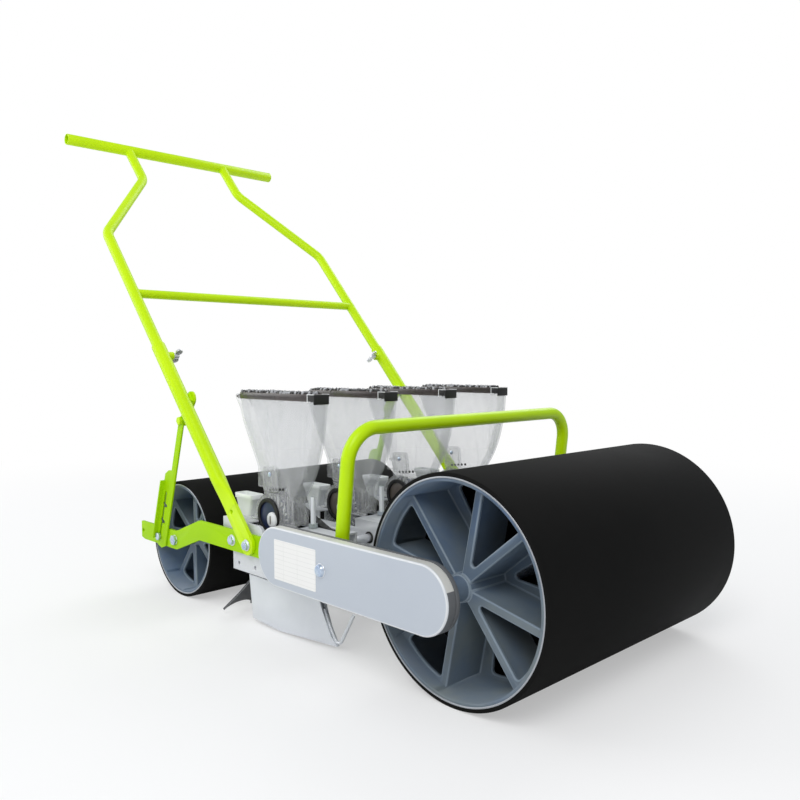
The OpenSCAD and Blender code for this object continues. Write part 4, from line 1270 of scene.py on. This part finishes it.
@dataclass
class SeedUnit:
    """One seed unit: base, housing, hopper, lid, seed wheel and opener, sizes in millimetres."""

    index: int
    base_cut: Flat = (90.0, 22.8, 20.5)
    base_cut_at: Flat = (277.0, -24.6, 159.7)
    wheel: Flat = (257.0, 166.0)
    wheel_face: float = -13.0
    cells: int = 24
    mark: Sequence[Flat] = ((-1.3, 29.5), (1.3, 29.5), (1.9, 36.5), (-1.9, 36.5))
    mark_y: Flat = (-6.3, -5.8)
    rod: Flat = (335.0, 9.0)
    rod_z: Flat = (163.5, 209.5)
    rod_r: float = 4.0
    nut_r: float = 7.4
    nut_z: Flat = (164.2, 169.7)
    lid_x: Flat = (180.0, 352.7)
    lid_z: float = 358.8
    lump_step: Flat = (4.6, 4.25)
    lump_rows: int = 6
    lump_turns: Sequence[Flat] = ((-0.5, 0.5), (-0.5, 0.5), (0.0, 3.1))
    lump_sizes: Sequence[Flat] = ((1.9, 3.2), (1.5, 2.4), (2.4, 4.4))
    highlight_share: float = 0.42
    knob: Flat = (268.5, 169.5)
    knob_y: float = -20.0
    knob_profile: Sequence[Flat] = ((0.02, -0.6), (7.5, -0.6), (9.8, 0.2), (11.2, 1.2), (11.6, 2.4),
                                    (11.6, 4.6), (11.0, 5.4), (0.02, 5.4))
    ear: Sequence[Flat] = ((243.5, 212.0), (243.5, 247.5), (278.5, 249.0), (284.0, 212.0))
    ear_inner: Sequence[Flat] = ((247.5, 216.0), (247.5, 243.5), (275.0, 245.0), (279.0, 216.0))
    ear_screw: Flat = (258.5, 236.5)
    wall_y: float = 12.5
    holes: int = 5
    hole_at: Flat = (259.0, 213.5)
    hole_step: Flat = (8.2, 0.9)
    ring: Flat = (255.0, 174.0)
    ring_r: Flat = (20.5, 26.5)

    @property
    def y(self) -> float:
        """Distance of the unit from the middle plane."""
        return UNIT_Y[self.index - 1]

    def build(self) -> None:
        """Builds and dresses all pieces of the unit."""
        i = self.index
        base = softened(f"unit_base_{i}", SILVER, 0.7)
        x, y, z = self.base_cut_at
        carved(base, at(x, self.y + y, z), self.base_cut)
        softened(f"seed_housing_{i}", THICK, 0.5)
        softened(f"hopper_{i}", CLEAR, 0.5)
        softened(f"lid_{i}", SMOKE, 0.8)
        wheel = softened(f"seed_wheel_{i}", BLUE, 0.4)
        edge = at(0.0, self.y + self.wheel_face, 0.0)[1]
        trimmed(wheel, lambda p: p[1] < edge)
        softened(f"opener_{i}", SHEET, 0.4)
        self._ring()
        self._ear()
        self._bumps()
        self._knob()
        self._teeth()
        self._rod()

    def _bumps(self) -> None:
        """Scatters the small lumps of the lid's rough top, a share of them light grey as painted highlight.
        """
        rng = random.Random(40 + self.index)
        bm = bmesh.new()
        bmesh.ops.create_uvsphere(bm, u_segments=8, v_segments=5, radius=1.0)
        shape = settled("lump", bm, 80.0)
        forms = (("lumps", shape, LUMPS), ("beads", shown("bead", shape.data.copy()), LIT_BEADS))
        places, turns, sizes = ([], []), ([], []), ([], [])
        x = self.lid_x[0] + 2.5
        while x < self.lid_x[1] - 2.0:
            for row in range(self.lump_rows):
                side = self.y - 10.6 + self.lump_step[1] * row + rng.uniform(-1.0, 1.0)
                kind = int(rng.random() < self.highlight_share)
                places[kind].append(at(x + rng.uniform(-1.2, 1.2), side,
                                       self.lid_z + rng.uniform(-0.3, 0.5) + 0.6 * kind))
                turns[kind].append([rng.uniform(*limits) for limits in self.lump_turns])
                sizes[kind].append([rng.uniform(*limits) * MM for limits in self.lump_sizes])
            x += self.lump_step[0]
        lid = f"lid_{self.index}"
        for kind, (name, form, finish) in enumerate(forms):
            mount_like(COPIES.repeat(f"{lid}_{name}", form, places[kind], turns[kind], finish,
                                     sizes[kind]), lid)

    def _ring(self) -> None:
        """Makes the black ring and the disc beside the seed wheel, on the housing's near wall."""
        inner, outer = self.ring_r
        housing = f"seed_housing_{self.index}"
        band = [(inner, -13.0), (inner, -16.2), (inner + 0.6, -16.8), (outer - 0.8, -16.8),
                (outer, -16.0), (outer, -12.6), (inner, -12.6)]
        fitted(f"{housing}_ring", lathe(band, *self.ring, 64, self.y), BLACK, "frame", "black_plastic")
        plate = [(0.02, -14.4), (inner - 3.0, -14.4), (inner - 1.5, -14.0), (inner + 0.2, -14.0),
                 (inner + 0.2, -12.7), (0.02, -12.7)]
        fitted(f"{housing}_disc", lathe(plate, *self.ring, 64, self.y),
               BLUE if self.index == 1 else BROWN, "frame", "black_plastic")

    def _knob(self) -> None:
        """Makes the pale round knob on the seed wheel's near side."""
        x, z = self.knob
        y = self.y + self.knob_y
        name = f"wheel_knob_{self.index}"
        fitted(name, lathe(self.knob_profile, x, z, 48, y), PALE, "frame", "white_plastic")
        # A dark bar on the knob's face stands for its slot: painted shade.
        slit = bmesh.new()
        bar = [(x - 1.4, z - 6.5), (x + 1.2, z - 6.5), (x + 1.2, z + 6.5), (x - 1.4, z + 6.5)]
        prism(slit, rounded(bar, 1.1), y - 0.75, y)
        fitted(f"{name}_slot", slit, BROWN, "frame", "black_plastic")

    def _ear(self) -> None:
        """Makes the hopper's clear ear, its screw and a row of black discs, painted shade that shows as
        holes.
        """
        y = self.y - self.wall_y
        hopper = f"hopper_{self.index}"
        outer, inner = rounded(self.ear, 5.0), rounded(self.ear_inner, 3.5)
        bm = bmesh.new()
        loft(bm, [[at(x, y - rise, z) for x, z in line] for line, rise in (
            (outer, 0.0), (outer, 3.2), (inner, 3.2), (inner, 1.2))])
        fitted(f"{hopper}_ear", bm, THICK, "frame", "clear_plastic")
        head = [(0.02, -2.6), (2.4, -2.6), (3.4, -2.0), (3.4, -0.9), (0.02, -0.9)]
        fitted(f"{hopper}_screw", lathe(head, *self.ear_screw, 24, y), ZINC, "frame", "zinc_steel")
        # Black discs where the holes are: painted shade of the holes.
        stud = [(0.02, -1.4), (1.7, -1.4), (2.1, -0.9), (2.1, 0.0), (0.02, 0.0)]
        places = [at(self.hole_at[0] + self.hole_step[0] * k, y - 0.2,
                     self.hole_at[1] + self.hole_step[1] * k) for k in range(self.holes)]
        holes = COPIES.repeat(f"{hopper}_holes", centred("stud", lathe(stud, MIDDLE[0], 0.0, 16)), places,
                              [(0.0, 0.0, 0.0)] * self.holes, BLACK)
        mount(holes, "frame", "clear_plastic")

    def _teeth(self) -> None:
        """Sets the pale marks between the cells of the seed wheel."""
        (x, z), count = self.wheel, self.cells
        bm = bmesh.new()
        prism(bm, rounded([(MIDDLE[0] + side, up) for side, up in self.mark], 0.5, 2), *self.mark_y)
        turns = [(0.0, 2 * math.pi * (k + 0.5) / count, 0.0) for k in range(count)]
        wheel = f"seed_wheel_{self.index}"
        mount_like(COPIES.repeat(f"{wheel}_teeth", centred("tooth", bm), [at(x, self.y, z)] * count,
                                 turns, PALE), wheel)

    def _rod(self) -> None:
        """Cuts the thread of the depth rod and adds its nut."""
        x, y = self.rod[0], self.y + self.rod[1]
        bm = bmesh.new()
        thread(bm, x, y, *self.rod_z, self.rod_r)
        loft(bm, [[at(x + self.nut_r * c, y + self.nut_r * d, z) for c, d in circle(6, 15.0)]
                  for z in self.nut_z])
        opener = f"opener_{self.index}"
        mount_like(dressed(settled(f"{opener}_rod", bm, 25.0), STUD), opener)


@dataclass
class UnitRow:
    """The four seed units and the pieces made as one node for all of them.

    A chute level is a height, both ends in x and half its width. A highlight strip is a box's x and z.
    """

    units: list[SeedUnit] = field(default_factory=lambda: [SeedUnit(i) for i in range(1, 5)])
    chute_levels: Sequence[Flat] = (
        (163.5, 166.0, 194.0, 9.0), (170.0, 164.0, 196.5, 9.6), (190.0, 157.6, 204.6, 10.8),
        (191.0, 156.0, 206.0, 11.6), (197.4, 155.4, 206.4, 12.0), (198.0, 156.0, 205.8, 11.4),
        (198.0, 158.2, 203.6, 9.4), (190.0, 160.0, 202.4, 8.8), (168.0, 168.0, 192.0, 7.2))
    latch_y: float = 13.5
    highlight_strips: Sequence[Flat] = ((352.9, 354.1, 347.6, 359.4), (354.1, 368.6, 358.3, 359.4),
                             (354.1, 360.0, 348.0, 348.9))

    def build(self) -> None:
        """Builds and dresses all the units."""
        for unit in self.units:
            unit.build()
        softened("drive_covers", BLACK, 1.5)
        self._chutes()
        softened("lid_latches", BLACK, 0.8)
        self._latch_highlight()
        softened("coverers", DARK, 0.4)

    def _chutes(self) -> None:
        """Makes the white chutes with their rims and rounded corners."""
        bm = bmesh.new()
        for unit in self.units:
            rings = []
            for z, x0, x1, half in self.chute_levels:
                y0, y1 = unit.y - half, unit.y + half
                corners = rounded([(x0, y0), (x1, y0), (x1, y1), (x0, y1)], 4.6, 5)
                rings.append([at(x, y, z) for x, y in corners])
            loft(bm, rings)
        fitted("seed_chutes.shaped", bm, WHITE, "frame", "white_plastic", "seed_chutes", sharp=50.0)

    def _latch_highlight(self) -> None:
        """Lays thin pale strips round each black latch block: painted highlight."""
        bm = bmesh.new()
        for unit in self.units:
            for _, sign in SIDES:
                wall = unit.y + sign * self.latch_y
                for x0, x1, z0, z1 in self.highlight_strips:
                    prism(bm, [(x0, z0), (x1, z0), (x1, z1), (x0, z1)], wall - 0.5, wall + 0.5)
        fitted("latch_trim", bm, PALE, "frame", "clear_plastic")


# Studio


@dataclass
class Studio:
    """Floor, light and camera. The eye is in millimetres and the lamps' aim in metres."""

    eye: Flat = (1242.2, -889.2, 400.1)
    yaw: float = 136.12
    pitch: float = -2.565
    roll: float = -0.353
    focal_px: float = 785.65
    aim: Flat = (0.1, 0.0, 0.25)

    def build(self) -> None:
        """Builds the floor, the lamps, the world and the camera."""
        bm = bmesh.new()
        bmesh.ops.create_circle(bm, cap_ends=True, segments=96, radius=14.0)
        dressed(settled("floor", bm), FLOOR)
        self._world()
        self._lamps()
        self._camera()

    def _world(self) -> None:
        """Makes a soft world light and a white background."""
        world = bpy.data.worlds.new("studio")
        bpy.context.scene.world = world
        world.use_nodes = True
        kit, nodes = NodeKit(world.node_tree), world.node_tree.nodes
        kit.fill(nodes["Background"], {"Strength": 0.55, "Color": (0.93, 0.96, 1.0, 1.0)})
        white = kit.get("ShaderNodeBackground", {"Color": (1.0, 1.0, 1.0, 1.0), "Strength": 1.0})
        mix = kit.get("ShaderNodeMixShader", {0: kit.seen(), 1: nodes["Background"].outputs[0], 2: white})
        kit.fill(nodes["World Output"], {"Surface": mix})

    def _lamps(self) -> None:
        """Hangs three large soft lamps."""
        for name, place, size, power in (("key", (1.6, -2.2, 2.6), 1.8, 62.0),
                                         ("fill", (-2.4, -1.6, 1.4), 2.2, 30.0),
                                         ("back", (-0.6, 2.4, 2.4), 2.0, 34.0)):
            lamp = bpy.data.lights.new(name, "AREA")
            lamp.shape = "SQUARE"
            lamp.size = size
            lamp.energy = power
            obj = shown(name, lamp)
            obj.location = place
            obj.rotation_mode = "QUATERNION"
            obj.rotation_quaternion = (Vector(self.aim) - Vector(place)).to_track_quat("-Z", "Y")

    def _camera(self) -> None:
        """Sets the camera where the photograph was taken from."""
        data = bpy.data.cameras.new("camera")
        cam = shown("camera", data)
        bpy.context.scene.camera = cam
        data.sensor_width = SENSOR_MM
        data.lens = self.focal_px / PICTURE_PX * SENSOR_MM
        data.clip_end = 60.0
        yaw, pitch, roll = (math.radians(v) for v in (self.yaw, self.pitch, self.roll))
        look = Vector((math.cos(yaw) * math.cos(pitch), math.sin(yaw) * math.cos(pitch), math.sin(pitch)))
        right = Vector((math.sin(yaw), -math.cos(yaw), 0.0))
        up = right.cross(look)
        side = math.cos(roll) * right + math.sin(roll) * up
        top = -math.sin(roll) * right + math.cos(roll) * up
        turn = Matrix((side, top, -look)).transposed().to_4x4()
        cam.matrix_world = Matrix.Translation(at(*self.eye)) @ turn


def main() -> None:
    """Builds the planter's sub-assemblies and the studio in order."""
    logging.basicConfig(level=logging.INFO, format="%(message)s")
    scene = bpy.context.scene
    scene.view_settings.view_transform = "Standard"
    scene.cycles.transparent_max_bounces = 32
    parts = [
        Drum("front", 634.0, 138.0, "front_drum"),
        Drum("rear", 0.0, 100.0, "rear_drum"),
        FrameWork(),
        ChainDrive(),
        Handle(),
        UnitRow(),
        Studio(),
    ]
    for part in parts:
        LOG.info("building %s", type(part).__name__)
        part.build()


if __name__ == "__main__":
    main()
